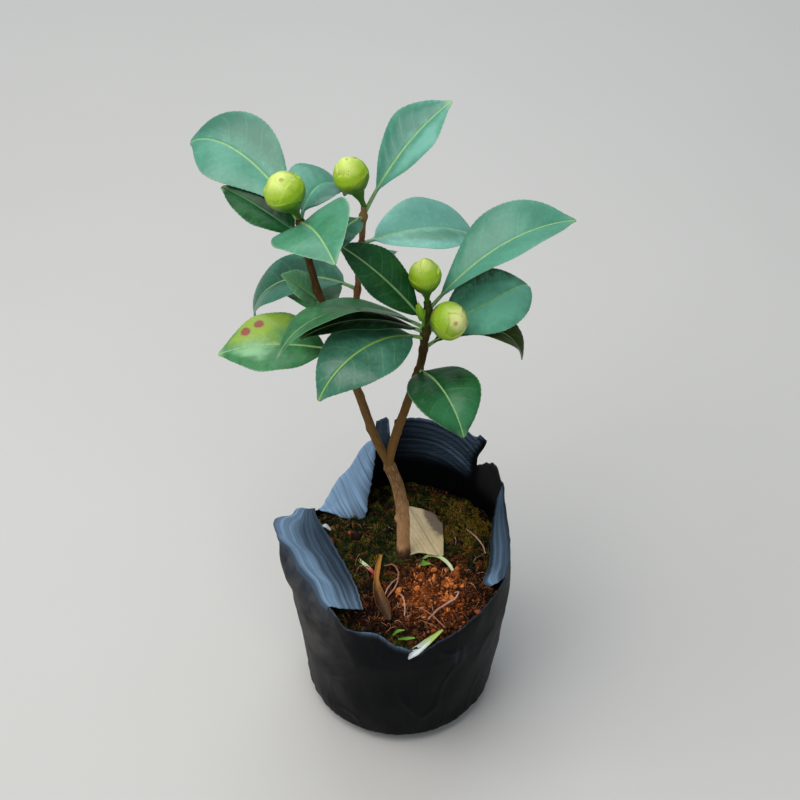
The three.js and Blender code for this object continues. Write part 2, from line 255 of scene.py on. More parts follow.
class Skin:
    """Points, faces and marks of one piece, gathered sheet by sheet in millimetres."""

    def __init__(self) -> None:
        """Starts empty."""
        self.points: list[np.ndarray] = []
        self.faces: list[tuple[int, ...]] = []
        self.finishes: list[int] = []
        self.marks: dict[str, list[np.ndarray]] = {}
        self.count = 0

    def add(
        self,
        points: np.ndarray,
        faces: Sequence[tuple[int, ...]],
        finish: int | np.ndarray = 0,
        **marks: np.ndarray,
    ) -> None:
        """Adds loose points and the faces between them.

        Args:
            points: (n, 3) in millimetres.
            faces: corner numbers, counted within these points.
            finish: number of the material, for all faces or for each.
            marks: named vectors, one for each point.
        """
        self.points.append(np.asarray(points, float).reshape(-1, 3))
        self.faces.extend(tuple(c + self.count for c in face) for face in faces)
        self.finishes.extend(np.broadcast_to(finish, len(faces)).tolist())
        for name, values in marks.items():
            self.marks.setdefault(name, []).append(np.asarray(values, float).reshape(-1, 3))
        self.count += len(self.points[-1])

    def grid(
        self,
        rows: np.ndarray,
        closed: bool = False,
        capped: bool = False,
        **marks: np.ndarray,
    ) -> None:
        """Adds a sheet of four-sided faces.

        Args:
            rows: (rows, columns, 3) in millimetres.
            closed: joins the last column to the first, as on a tube.
            capped: closes both ends of a tube.
            marks: named vectors, one for each point.
        """
        high, wide = rows.shape[:2]
        faces = sheet_faces(high, wide, closed)
        if capped:
            faces.append(tuple(reversed(range(wide))))
            faces.append(tuple(range((high - 1) * wide, high * wide)))
        self.add(rows, faces, **marks)

    def plate(self, rows: np.ndarray, thick: float, **marks: np.ndarray) -> None:
        """Adds a thin closed sheet: the rows, a copy below them and an edge all round.

        Args:
            rows: (rows, columns, 3) in millimetres.
            thick: distance between the two faces.
            marks: named vectors, one for each point.
        """
        along = np.gradient(rows, axis=0)
        across = np.gradient(rows, axis=1)
        normal = np.cross(across, along)
        normal /= np.maximum(np.linalg.norm(normal, axis=2, keepdims=True), 1e-9)
        below = rows - normal * thick
        ring = np.concatenate([rows, below[:, ::-1]], axis=1)
        doubled = {k: np.concatenate([v, v[:, ::-1]], axis=1) for k, v in marks.items()}
        high, wide = rows.shape[:2]
        faces = sheet_faces(high, 2 * wide, closed=True)
        for r in (0, high - 1):
            for c in range(wide - 1):
                a, b = r * 2 * wide + c, r * 2 * wide + c + 1
                e, f = (r + 1) * 2 * wide - 1 - c, (r + 1) * 2 * wide - 2 - c
                faces.append((a, e, f, b) if r == 0 else (a, b, f, e))
        self.add(ring, faces, **doubled)

    def piece(
        self,
        name: str,
        materials: Sequence[bpy.types.Material],
        slot: str,
        replaces: Sequence[str] = (),
    ) -> None:
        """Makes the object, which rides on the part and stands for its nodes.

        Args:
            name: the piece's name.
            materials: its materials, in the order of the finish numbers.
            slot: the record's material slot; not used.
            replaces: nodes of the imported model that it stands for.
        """
        points = np.concatenate(self.points) * MM
        mesh = bpy.data.meshes.new(name)
        mesh.from_pydata(points.tolist(), [], self.faces)
        for material in materials:
            mesh.materials.append(material)
        mesh.polygons.foreach_set("material_index", self.finishes)
        mesh.polygons.foreach_set("use_smooth", [True] * len(self.faces))
        for mark, values in self.marks.items():
            held = mesh.attributes.new(mark, "FLOAT_VECTOR", "POINT")
            held.data.foreach_set("vector", np.concatenate(values).astype(np.float32).ravel())
        outward(mesh)
        piece = bpy.data.objects.new(name, mesh)
        bpy.context.scene.collection.objects.link(piece)
        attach(piece, "root")
        if replaces:
            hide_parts(*replaces)
        log.info("%s: %d points, %d faces", name, len(points), len(self.faces))


def sheet_faces(high: int, wide: int, closed: bool) -> list[tuple[int, ...]]:
    """Four-sided faces between rows of points that are numbered row by row.

    Args:
        high: how many rows.
        wide: points of a row.
        closed: joins the last column to the first.

    Returns:
        The faces.
    """
    faces: list[tuple[int, ...]] = []
    for r in range(high - 1):
        for c in range(wide if closed else wide - 1):
            d = (c + 1) % wide
            faces.append((r * wide + c, r * wide + d, (r + 1) * wide + d, (r + 1) * wide + c))
    return faces


def outward(mesh: bpy.types.Mesh) -> None:
    """Turns the faces of each closed part outwards.

    Args:
        mesh: the mesh, which is changed.
    """
    work = bmesh.new()
    work.from_mesh(mesh)
    bmesh.ops.recalc_face_normals(work, faces=work.faces)
    work.to_mesh(mesh)
    work.free()


def ease(value: Any, low: float, high: float) -> Any:
    """Soft step from 0 at low to 1 at high, for a number or an array."""
    t = np.clip((np.asarray(value, float) - low) / (high - low), 0.0, 1.0)
    return t * t * (3 - 2 * t)


def unit(vector: np.ndarray) -> np.ndarray:
    """The vector at length 1, along the last axis."""
    return vector / np.maximum(np.linalg.norm(vector, axis=-1, keepdims=True), 1e-9)


def peak(value: Any, centre: float, width: float) -> Any:
    """Bell that is 1 at its centre and falls away over its width."""
    return np.exp(-(((value - centre) / width) ** 2))


def hill(x: np.ndarray, y: np.ndarray, at: tuple[float, float], size: tuple[float, float]) -> np.ndarray:
    """Bell over the ground that is 1 at its middle and falls away over its two widths."""
    return np.exp(-(((x - at[0]) / size[0]) ** 2 + ((y - at[1]) / size[1]) ** 2))


def vectors(*parts: Any) -> np.ndarray:
    """Vectors from their parts, each an array or a number that fits the others."""
    return np.stack(np.broadcast_arrays(*parts), axis=-1)


def polar(radius: Any, turn: np.ndarray, height: Any) -> np.ndarray:
    """Points at a radius, a bearing in radians and a height."""
    return vectors(radius * np.cos(turn), radius * np.sin(turn), height)


def rolled(side: np.ndarray, up: np.ndarray, turn: float) -> tuple[np.ndarray, np.ndarray]:
    """Two directions square to a line, turned about it by an angle in radians."""
    return side * math.cos(turn) + up * math.sin(turn), up * math.cos(turn) - side * math.sin(turn)


def rough(points: np.ndarray, size: float, seed: float = 0.0, octaves: int = 3) -> np.ndarray:
    """Smooth random field from about -1 to 1 at each point.

    Args:
        points: (..., 3) in millimetres.
        size: width of its largest swells.
        seed: shift that gives another field.
        octaves: how many finer fields lie on it.

    Returns:
        One number for each point.
    """
    flat = points.reshape(-1, 3) / size + seed
    found = [noise.fractal(Vector(p), 0.7, 2.0, octaves) for p in flat]
    return np.array(found).reshape(points.shape[:-1])


def smooth_line(points: Sequence[Point], count: int) -> np.ndarray:
    """Even points along the centripetal Catmull-Rom line through the given ones.

    Args:
        points: the points that it passes.
        count: how many points come back.

    Returns:
        (count, 3) in millimetres.
    """
    given = np.array(points, float)
    ends = [2 * given[0] - given[1], 2 * given[-1] - given[-2]]
    held = np.vstack([ends[0], given, ends[1]])
    fine: list[np.ndarray] = []
    for i in range(1, len(held) - 2):
        p = held[i - 1 : i + 3]
        knots = np.concatenate([[0.0], np.cumsum(np.sqrt(np.linalg.norm(np.diff(p, axis=0), axis=1)))])
        t = np.linspace(knots[1], knots[2], SPAN_POINTS, endpoint=i == len(held) - 3)[:, None]
        fine.append(catmull(p, knots, t))
    line = np.vstack(fine)
    walked = np.concatenate([[0.0], np.cumsum(np.linalg.norm(np.diff(line, axis=0), axis=1))])
    wanted = np.linspace(0, walked[-1], count)
    return np.stack([np.interp(wanted, walked, line[:, k]) for k in range(3)], axis=1)


def catmull(p: np.ndarray, knots: np.ndarray, t: np.ndarray) -> np.ndarray:
    """Points at knot values t between the second and third of four points.

    Args:
        p: the four points.
        knots: their knot values.
        t: the values that are wanted.

    Returns:
        A point for each value.
    """
    def between(a: np.ndarray, b: np.ndarray, i: int, j: int) -> np.ndarray:
        """Straight blend of two points over a knot span."""
        return (knots[j] - t) / (knots[j] - knots[i]) * a + (t - knots[i]) / (knots[j] - knots[i]) * b

    one, two, three = (between(p[i], p[i + 1], i, i + 1) for i in range(3))
    return between(between(one, two, 0, 2), between(two, three, 1, 3), 1, 2)


def tube_frames(line: np.ndarray) -> tuple[np.ndarray, np.ndarray, np.ndarray]:
    """Directions along a line and two square to it that turn as little as they can.

    Args:
        line: (n, 3) points.

    Returns:
        (along, side, up), each (n, 3).
    """
    along = unit(np.gradient(line, axis=0))
    side = np.zeros_like(line)
    start = np.array([1.0, 0, 0]) if abs(along[0][0]) < 0.8 else np.array([0, 1.0, 0])
    side[0] = unit(start - along[0] * (start @ along[0]))
    for i in range(1, len(line)):
        side[i] = unit(side[i - 1] - along[i] * (side[i - 1] @ along[i]))
    return along, side, np.cross(along, side)


def tube(line: np.ndarray, radius: np.ndarray, sides: int) -> np.ndarray:
    """Rings round a line.

    Args:
        line: (n, 3) points.
        radius: n numbers, or (n, sides) of them.
        sides: points of each ring.

    Returns:
        (n, sides, 3) points.
    """
    _, side, up = tube_frames(line)
    angle = np.arange(sides) * 2 * math.pi / sides
    spread = np.broadcast_to(np.asarray(radius, float).reshape(len(line), -1), (len(line), sides))[..., None]
    circle = side[:, None] * np.cos(angle)[None, :, None] + up[:, None] * np.sin(angle)[None, :, None]
    return line[:, None] + circle * spread


# Studio


@dataclass
class Studio:
    """Camera, pale floor and soft light.

    Attributes:
        reach: distance from the camera to the point it looks at, in millimetres.
        aim: that point.
        elevation: the camera's angle above the horizon, in degrees.
        lens: focal length.
        sensor: width of the sensor.
        floor_reach: how far the floor runs from the middle, in metres.
        lamps_at: the point that the lamps face, in metres.
    """

    reach: float = 810
    aim: Point = (0, 0, 228)
    elevation: float = 45
    lens: float = 72
    sensor: float = 36
    floor_reach: float = 4.0
    lamps_at: Point = (0.0, 0.0, 0.2)

    def build(self) -> None:
        """Makes everything."""
        self.camera()
        self.floor()
        self.sky()
        self.soft_box("back soft box", (0.0, 1.0, 1.25), 1.2, 7.0, (0.90, 0.96, 1.0))
        self.soft_box("top soft box", (-0.5, -0.2, 1.4), 1.1, 15.0, (1.0, 0.98, 0.95))
        self.soft_box("front soft box", (0.3, -1.2, 1.1), 0.9, 2.0, (0.95, 0.97, 1.0))

    def camera(self) -> None:
        """Sets the camera at the angle of the photograph."""
        data = bpy.data.cameras.new("camera")
        data.lens = self.lens
        data.sensor_width = self.sensor
        data.clip_start = 0.02
        camera = bpy.data.objects.new("camera", data)
        lift = math.radians(self.elevation)
        away = self.reach * MM
        camera.location = (
            self.aim[0] * MM,
            self.aim[1] * MM - away * math.cos(lift),
            self.aim[2] * MM + away * math.sin(lift),
        )
        camera.rotation_euler = (math.pi / 2 - lift, 0, 0)
        bpy.context.scene.collection.objects.link(camera)
        bpy.context.scene.camera = camera

    def floor(self) -> None:
        """Lays a wide pale floor."""
        mesh = bpy.data.meshes.new("floor")
        s = self.floor_reach
        mesh.from_pydata([(-s, -s, 0), (s, -s, 0), (s, s, 0), (-s, s, 0)], [], [(0, 1, 2, 3)])
        shader = Shader("pale floor", Roughness=0.7)
        cloud = shader.noise(shader.place(), 3.0, 4.0)
        shader.drive("Base Color", shader.mix(cloud, (0.62, 0.60, 0.57), (0.68, 0.66, 0.63)))
        mesh.materials.append(shader.material)
        floor = bpy.data.objects.new("floor", mesh)
        bpy.context.scene.collection.objects.link(floor)

    def sky(self) -> None:
        """Fills the room with soft bluish light and shows colours as they are."""
        bpy.context.scene.view_settings.view_transform = "Standard"
        world = bpy.data.worlds.new("studio")
        world.use_nodes = True
        back = world.node_tree.nodes["Background"]
        back.inputs["Color"].default_value = (0.80, 0.90, 1.0, 1.0)
        back.inputs["Strength"].default_value = 0.30
        bpy.context.scene.world = world

    def soft_box(self, name: str, at: Point, size: float, power: float, colour: Colour) -> None:
        """Hangs a square lamp that faces the shrub.

        Args:
            name: its name.
            at: its place in metres.
            size: its side in metres.
            power: its power in watts.
            colour: its tint.
        """
        data = bpy.data.lights.new(name, "AREA")
        data.shape = "SQUARE"
        data.size = size
        data.energy = power
        data.color = colour
        lamp = bpy.data.objects.new(name, data)
        lamp.location = at
        towards = Vector(self.lamps_at) - Vector(at)
        lamp.rotation_euler = towards.to_track_quat("-Z", "Y").to_euler()
        bpy.context.scene.collection.objects.link(lamp)


# Limbs


YOUNG_BARK = (0.10, 0.20, 0.04)
DARK_FOOT_BARK = (0.030, 0.010, 0.006)


@dataclass(frozen=True)
class BarkFinish:
    """Bark of one limb.

    Attributes:
        name: the material's name.
        low: colour at its foot.
        high: colour at its end.
        dark: colour of its cracks and scars.
        light: colour of its weathered ridges.
        green: share of green left at its end.
        dark_foot: height of the darker band at its foot, in millimetres.
    """

    name: str
    low: Colour
    high: Colour
    dark: Colour
    light: Colour
    green: float = 0.0
    dark_foot: float = 0.0

    def material(self) -> bpy.types.Material:
        """Makes the bark: long cracks, pale ridges, pores and scars.

        Returns:
            The material.
        """
        shader = Shader(self.name, Specular_IOR_Level=0.1)
        place = shader.mark("limb")
        _, along, share = shader.parts(place)
        grain = shader.noise(shader.stretch(place, (1.6, 0.22, 0.0)), 1.0, 5.0, 0.6)
        patches = shader.noise(shader.stretch(place, (0.35, 0.12, 0.0)), 1.0, 3.0, 0.4)
        pores = shader.cells(shader.stretch(place, (0.9, 0.45, 0.0)), 1.0)
        body = shader.mix(shader.smooth(share + 0.5 * (patches - 0.5), 0.1, 0.95), self.low, self.high)
        body = shader.mix(shader.smooth(grain, 0.50, 0.72) * 0.6, body, self.light)
        body = shader.mix(shader.smooth(grain, 0.47, 0.30) * 0.5, body, self.dark)
        body = shader.mix(shader.smooth(pores, 0.16, 0.08) * 0.5, body, self.light)
        if self.green:
            young = shader.smooth(share + 0.25 * (patches - 0.5), 0.8, 1.0) * self.green
            body = shader.mix(young, body, YOUNG_BARK)
        # The bark darkens at its foot, up to that height.
        if self.dark_foot:
            dark_foot_share = shader.smooth(along + 8.0 * (patches - 0.5) + 4.0 * (grain - 0.5), self.dark_foot, 7.0)
            body = shader.mix(dark_foot_share * 0.92, body, DARK_FOOT_BARK)
        shader.drive("Base Color", body)
        shader.drive("Roughness", 0.55 + 0.3 * grain)
        shader.relief(grain + 0.3 * shader.smooth(pores, 0.2, 0.05), 0.25, 0.7)
        return shader.material


@dataclass(frozen=True)
class Limb:
    """A woody stem along a smooth line.

    Attributes:
        name: the node that it stands for.
        path: points of its centre line.
        start: diameter at its foot.
        end: diameter at its tip.
        finish: its bark.
        flare: extra diameter at the foot, which fades over flare_height.
        flare_height: how high the flare reaches.
        knots: share along it, bearing round it and height of each knot.
        rounded: length over which its end rounds off.
        ring_gap: distance between the rings of its mesh.
        sides: points of a ring.
    """

    name: str
    path: tuple[Point, ...]
    start: float
    end: float
    finish: BarkFinish
    flare: float = 0.0
    flare_height: float = 14.0
    knots: tuple[Point, ...] = ()
    rounded: float = 0.0
    ring_gap: float = 0.7
    sides: int = 28

    def at(self, share: float) -> np.ndarray:
        """The point at that share of its length."""
        line = smooth_line(self.path, 401)
        return line[round(share * 400)]

    def length(self) -> float:
        """Its length."""
        line = smooth_line(self.path, 201)
        return float(np.linalg.norm(np.diff(line, axis=0), axis=1).sum())

    def build(self, nodes: Sequence[float]) -> None:
        """Makes the limb with its bark.

        Args:
            nodes: shares of its length where leaves or buds leave it.
        """
        length = self.length()
        count = int(length / self.ring_gap)
        sides = self.sides
        line = smooth_line(self.path, count)
        share = np.linspace(0, 1, count)
        radius = (self.start + (self.end - self.start) * share) / 2
        if self.flare:
            radius = radius + self.flare / 2 * np.clip(1 - share * length / self.flare_height, 0, 1) ** 2
        for node in nodes:
            off = (share - node) * length
            radius = radius + 0.45 * peak(off, 0, 2.2) - 0.18 * peak(off, 2.6, 0.8)
        if self.rounded:
            radius = radius * (1 - 0.6 * ease(share * length, length - self.rounded, length + 1))
        angle = np.arange(sides) * 2 * math.pi / sides
        spread = np.repeat(radius[:, None], sides, axis=1)
        for where, bearing, height in self.knots:
            turn = np.angle(np.exp(1j * (angle - math.radians(bearing))))
            off = (share[:, None] - where) * length
            spread += height * peak(off, 0, 2.4) * peak(turn[None], 0, 0.55)
        rings = tube(line, spread, sides)
        grooves = rough(rings * np.array([1.0, 1.0, 0.18]), 1.6, len(self.name), 4)
        swells = rough(rings, 9.0, 3.0 + len(self.name), 2)
        spread = spread + 0.06 * grooves + 0.17 * swells
        rings = tube(line, spread, sides)
        walked = (share * length)[:, None]
        skin = Skin()
        marks = vectors(angle * self.start / 2, walked, share[:, None])
        skin.grid(rings, closed=True, capped=True, limb=marks)
        skin.piece(self.name + "_bark", [self.finish.material()], "bark", [self.name])


GREY_BROWN = BarkFinish(
    "trunk bark",
    (0.70, 0.37, 0.165), (0.17, 0.090, 0.028), (0.20, 0.085, 0.032), (0.70, 0.46, 0.28), dark_foot=17.0,
)
DARK_RED_BROWN = BarkFinish(
    "left stem bark",
    (0.18, 0.095, 0.026), (0.095, 0.038, 0.014), (0.030, 0.013, 0.006), (0.26, 0.16, 0.07),
)
BROWN = BarkFinish(
    "right stem bark",
    (0.20, 0.10, 0.028), (0.034, 0.022, 0.004), (0.020, 0.010, 0.003), (0.15, 0.085, 0.03), 0.35,
)
ORANGE_BROWN = BarkFinish(
    "middle stem bark",
    (0.12, 0.050, 0.028), (0.32, 0.14, 0.06), (0.05, 0.022, 0.014), (0.42, 0.24, 0.13), 0.3,
)

FORK = (-6.6, 0, 183)
LIMBS = (
    Limb(
        "trunk",
        ((2, 0, 101), (2, 0, 105.3), (1.8, 0, 120), (1.6, 0, 140), (-1.3, 0, 163), (-6.2, 0, 181),
         (-7.4, 0, 186)),
        7.6, 6.4, GREY_BROWN, flare=1.8, flare_height=18.0, rounded=9.0,
        knots=((0.42, 185, 1.3), (0.55, 10, 0.6), (0.92, 350, 0.7), (0.15, 250, 0.7)),
    ),
    Limb(
        "left_stem",
        ((-4.6, 0.2, 176), FORK, (-12.4, -1, 200), (-20.7, 0, 232), (-29, 1, 264), (-37.3, 2, 292),
         (-43, 2, 321), (-45.8, 2, 343)),
        5.0, 3.2, DARK_RED_BROWN,
        knots=((0.2, 190, 0.5), (0.33, 20, 0.4), (0.75, 200, 0.5)),
    ),
    Limb(
        "right_stem",
        ((-6.4, 0.3, 176), (-5.6, 0, 184), (-2.3, -1, 203), (4, -2, 229), (10.3, -3, 257), (12.4, -3, 279),
         (13.6, -2, 287), (13, -1, 295)),
        5.0, 3.6, BROWN,
        knots=((0.25, 0, 0.4), (0.6, 180, 0.5)),
    ),
    Limb(
        "middle_stem",
        ((-29, 1, 254), (-27.2, 1, 257), (-23.6, 7, 270), (-20.2, 11, 295), (-17.8, 13, 324),
         (-16.7, 14, 341)),
        3.4, 2.7, ORANGE_BROWN,
        knots=((0.3, 180, 0.3),),
    ),
)


# Leaves


class LitTone(Enum):
    """How a leaf looks: its body, its darker middle and how strongly it shines. The tones are lit and shaded
    copies of one green: the pale ones paint the sky's sheen, the dark ones paint shade.
    """

    ICY_SHEEN = ((0.235, 0.600, 0.490), (0.175, 0.500, 0.385), 0.5)
    PALE_SHEEN = ((0.092, 0.320, 0.225), (0.066, 0.255, 0.170), 0.36)
    JADE = ((0.080, 0.305, 0.205), (0.058, 0.240, 0.155), 0.36)
    SATIN = ((0.085, 0.315, 0.200), (0.060, 0.245, 0.150), 0.1)
    MINT_SHEEN = ((0.070, 0.290, 0.160), (0.045, 0.215, 0.115), 0.45)
    BLUISH = ((0.056, 0.220, 0.140), (0.028, 0.132, 0.080), 0.3)
    FRESH = ((0.160, 0.420, 0.210), (0.100, 0.310, 0.140), 0.35)
    GREEN = ((0.055, 0.245, 0.085), (0.028, 0.145, 0.048), 0.3)
    DEEP_SHADE = ((0.013, 0.115, 0.028), (0.006, 0.062, 0.014), 0.2)
    BLACK_SHADE = ((0.006, 0.036, 0.012), (0.003, 0.016, 0.006), 0.08)
    DARK_OLIVE = ((0.044, 0.070, 0.006), (0.022, 0.038, 0.004), 0.10)


SPOT = (0.30, 0.085, 0.055)
SPOT_RING = (0.30, 0.30, 0.06)
# Pale margin colour, which also paints the light that edges and tips catch.
PALE_LIT_EDGE = (0.30, 0.50, 0.25)
UNDERSIDE = (0.13, 0.22, 0.075)
PALE_UNDERSIDE = (0.19, 0.30, 0.11)
UNDER_VEIN = (0.28, 0.38, 0.17)


@dataclass(frozen=True)
class LeafFinish:
    """Glossy blade with a pale rib, fine veins and a paler underside.

    Attributes:
        lit_tone: colour of the blade, with painted sheen in the pale tones and painted shade in the dark
            ones.
        rib: colour of the midrib and stalk.
        tip: how pale the tip is, from 0 to 1; the paleness also paints the light that the tip catches.
        rim: how pale the edge is, from 0 to 1; the paleness also paints the light that the edge catches.
        veins: how much the side veins show, from 0 to 1.
        patches: centre along and across, length, width and colour of each patch. Most are painted light,
            lighter where sheen falls and darker where shade falls; a few are real fading.
        spots: centre along and across and radius of each brown spot.
        gloss: roughness of the blade.
    """

    lit_tone: LitTone
    rib: Colour = (0.29, 0.52, 0.20)
    tip: float = 0.35
    rim: float = 0.45
    veins: float = 0.16
    patches: tuple[tuple[float, float, float, float, Colour], ...] = ()
    spots: tuple[Point, ...] = ()
    gloss: float = 0.34

    def material(self, name: str, seed: float) -> bpy.types.Material:
        """Makes the leaf's material.

        Args:
            name: the leaf's name.
            seed: shift of its patterns.

        Returns:
            The material.
        """
        body, deep, shine = self.lit_tone.value
        shader = Shader(
            name.replace("_", " "), Coat_Weight=0.7 * shine, Coat_Roughness=0.22, Specular_IOR_Level=shine
        )
        blade = shader.mark("blade")
        along, side, face = shader.parts(blade)
        flat = shader.mark("flat")
        _, across, _ = shader.parts(flat)
        out = abs(side)
        there = shader.shift(flat, (seed, 2 * seed, 0.0))
        cloud = shader.noise(there, 0.07, 3.0)
        mottle = shader.noise(there, 0.45, 4.0, 0.5)
        wobble = shader.noise(there, 0.12, 2.0)
        phase = (along - VEIN_SLANT * out ** VEIN_CURVE) * VEIN_PAIRS + 0.5 * side.above(0.0) + 0.35 * wobble
        stripe = abs(2.0 * phase.fraction() - 1.0)
        fade = shader.smooth(out, 0.97, 0.78) * shader.smooth(along, 0.02, 0.12)
        fade = fade * shader.smooth(along, 0.99, 0.85)
        vein = shader.smooth(stripe, 0.80, 1.0) * fade * shader.smooth(cloud, 0.25, 0.6)
        net = shader.smooth(shader.cells(there, 0.42, "DISTANCE_TO_EDGE"), 0.09, 0.0) * fade
        rib_width = 1.2 - 0.65 * along
        rib = shader.smooth(abs(across) / rib_width, 0.75, 0.35)
        stalk = shader.smooth(along, 0.015, -0.01)
        colour = shader.mix(shader.smooth(cloud * 0.7 + mottle * 0.3, 0.32, 0.66), deep, body)
        colour = shader.mix(shader.smooth(mottle, 0.55, 0.8) * 0.25, colour, tuple(1.6 * c for c in body))
        # Patches: most paint light onto the blade, lighter where the sky's sheen falls and darker where it
        # lies in shade; a few are real fading.
        for a, b, long, wide, shade_and_fade_colour in self.patches:
            middle = (a / long, b / wide, 0.0)
            patch = shader.distance(shader.stretch(blade, (1 / long, 1 / wide, 0.0)), middle)
            patch = shader.smooth(patch + 0.9 * (wobble - 0.5) + 0.35 * (mottle - 0.5), 1.0, 0.25)
            colour = shader.mix(patch, colour, shade_and_fade_colour)
        light = tuple(0.5 * c + 0.5 * r for c, r in zip(body, self.rib))
        colour = shader.mix(vein * self.veins, colour, light)
        colour = shader.mix(net * 0.35 * self.veins, colour, light)
        for a, b, radius in self.spots:
            spot = shader.distance(shader.stretch(flat, (1.0, 1.0, 0.0)), (a, b, 0.0)) / radius
            spot = spot + 0.7 * (mottle - 0.5)
            colour = shader.mix(shader.smooth(spot, 1.25, 0.95) * 0.8, colour, SPOT_RING)
            colour = shader.mix(shader.smooth(spot, 1.0, 0.75), colour, SPOT)
        # The edge and tip are paler: the leaf's own margin with a painted highlight where they catch the
        # light.
        edge = shader.smooth(out, 0.955, 1.0) * shader.smooth(along, 0.05, 0.2)
        colour = shader.mix(edge * self.rim, colour, PALE_LIT_EDGE)
        colour = shader.mix(shader.smooth(along, 0.90, 1.0) * self.tip, colour, PALE_LIT_EDGE)
        below = shader.mix(shader.smooth(mottle, 0.3, 0.7), UNDERSIDE, PALE_UNDERSIDE)
        below = shader.mix((vein * 0.6).larger(net * 0.5), below, UNDER_VEIN)
        under = shader.smooth(face, 0.25, -0.25)
        colour = shader.mix(under, colour, below)
        darker_rib = tuple(0.75 * c for c in self.rib)
        stripe_colour = shader.mix(shader.smooth(mottle, 0.3, 0.8), self.rib, darker_rib)
        colour = shader.mix(rib.larger(stalk), colour, stripe_colour)
        shader.drive("Base Color", colour)
        shader.drive("Roughness", self.gloss + 0.14 * mottle + 0.25 * under + 0.08 * stalk)
        height = vein * -0.5 + net * -0.15 + 0.22 * mottle
        shader.relief(height, 0.20, 0.5)
        return shader.material


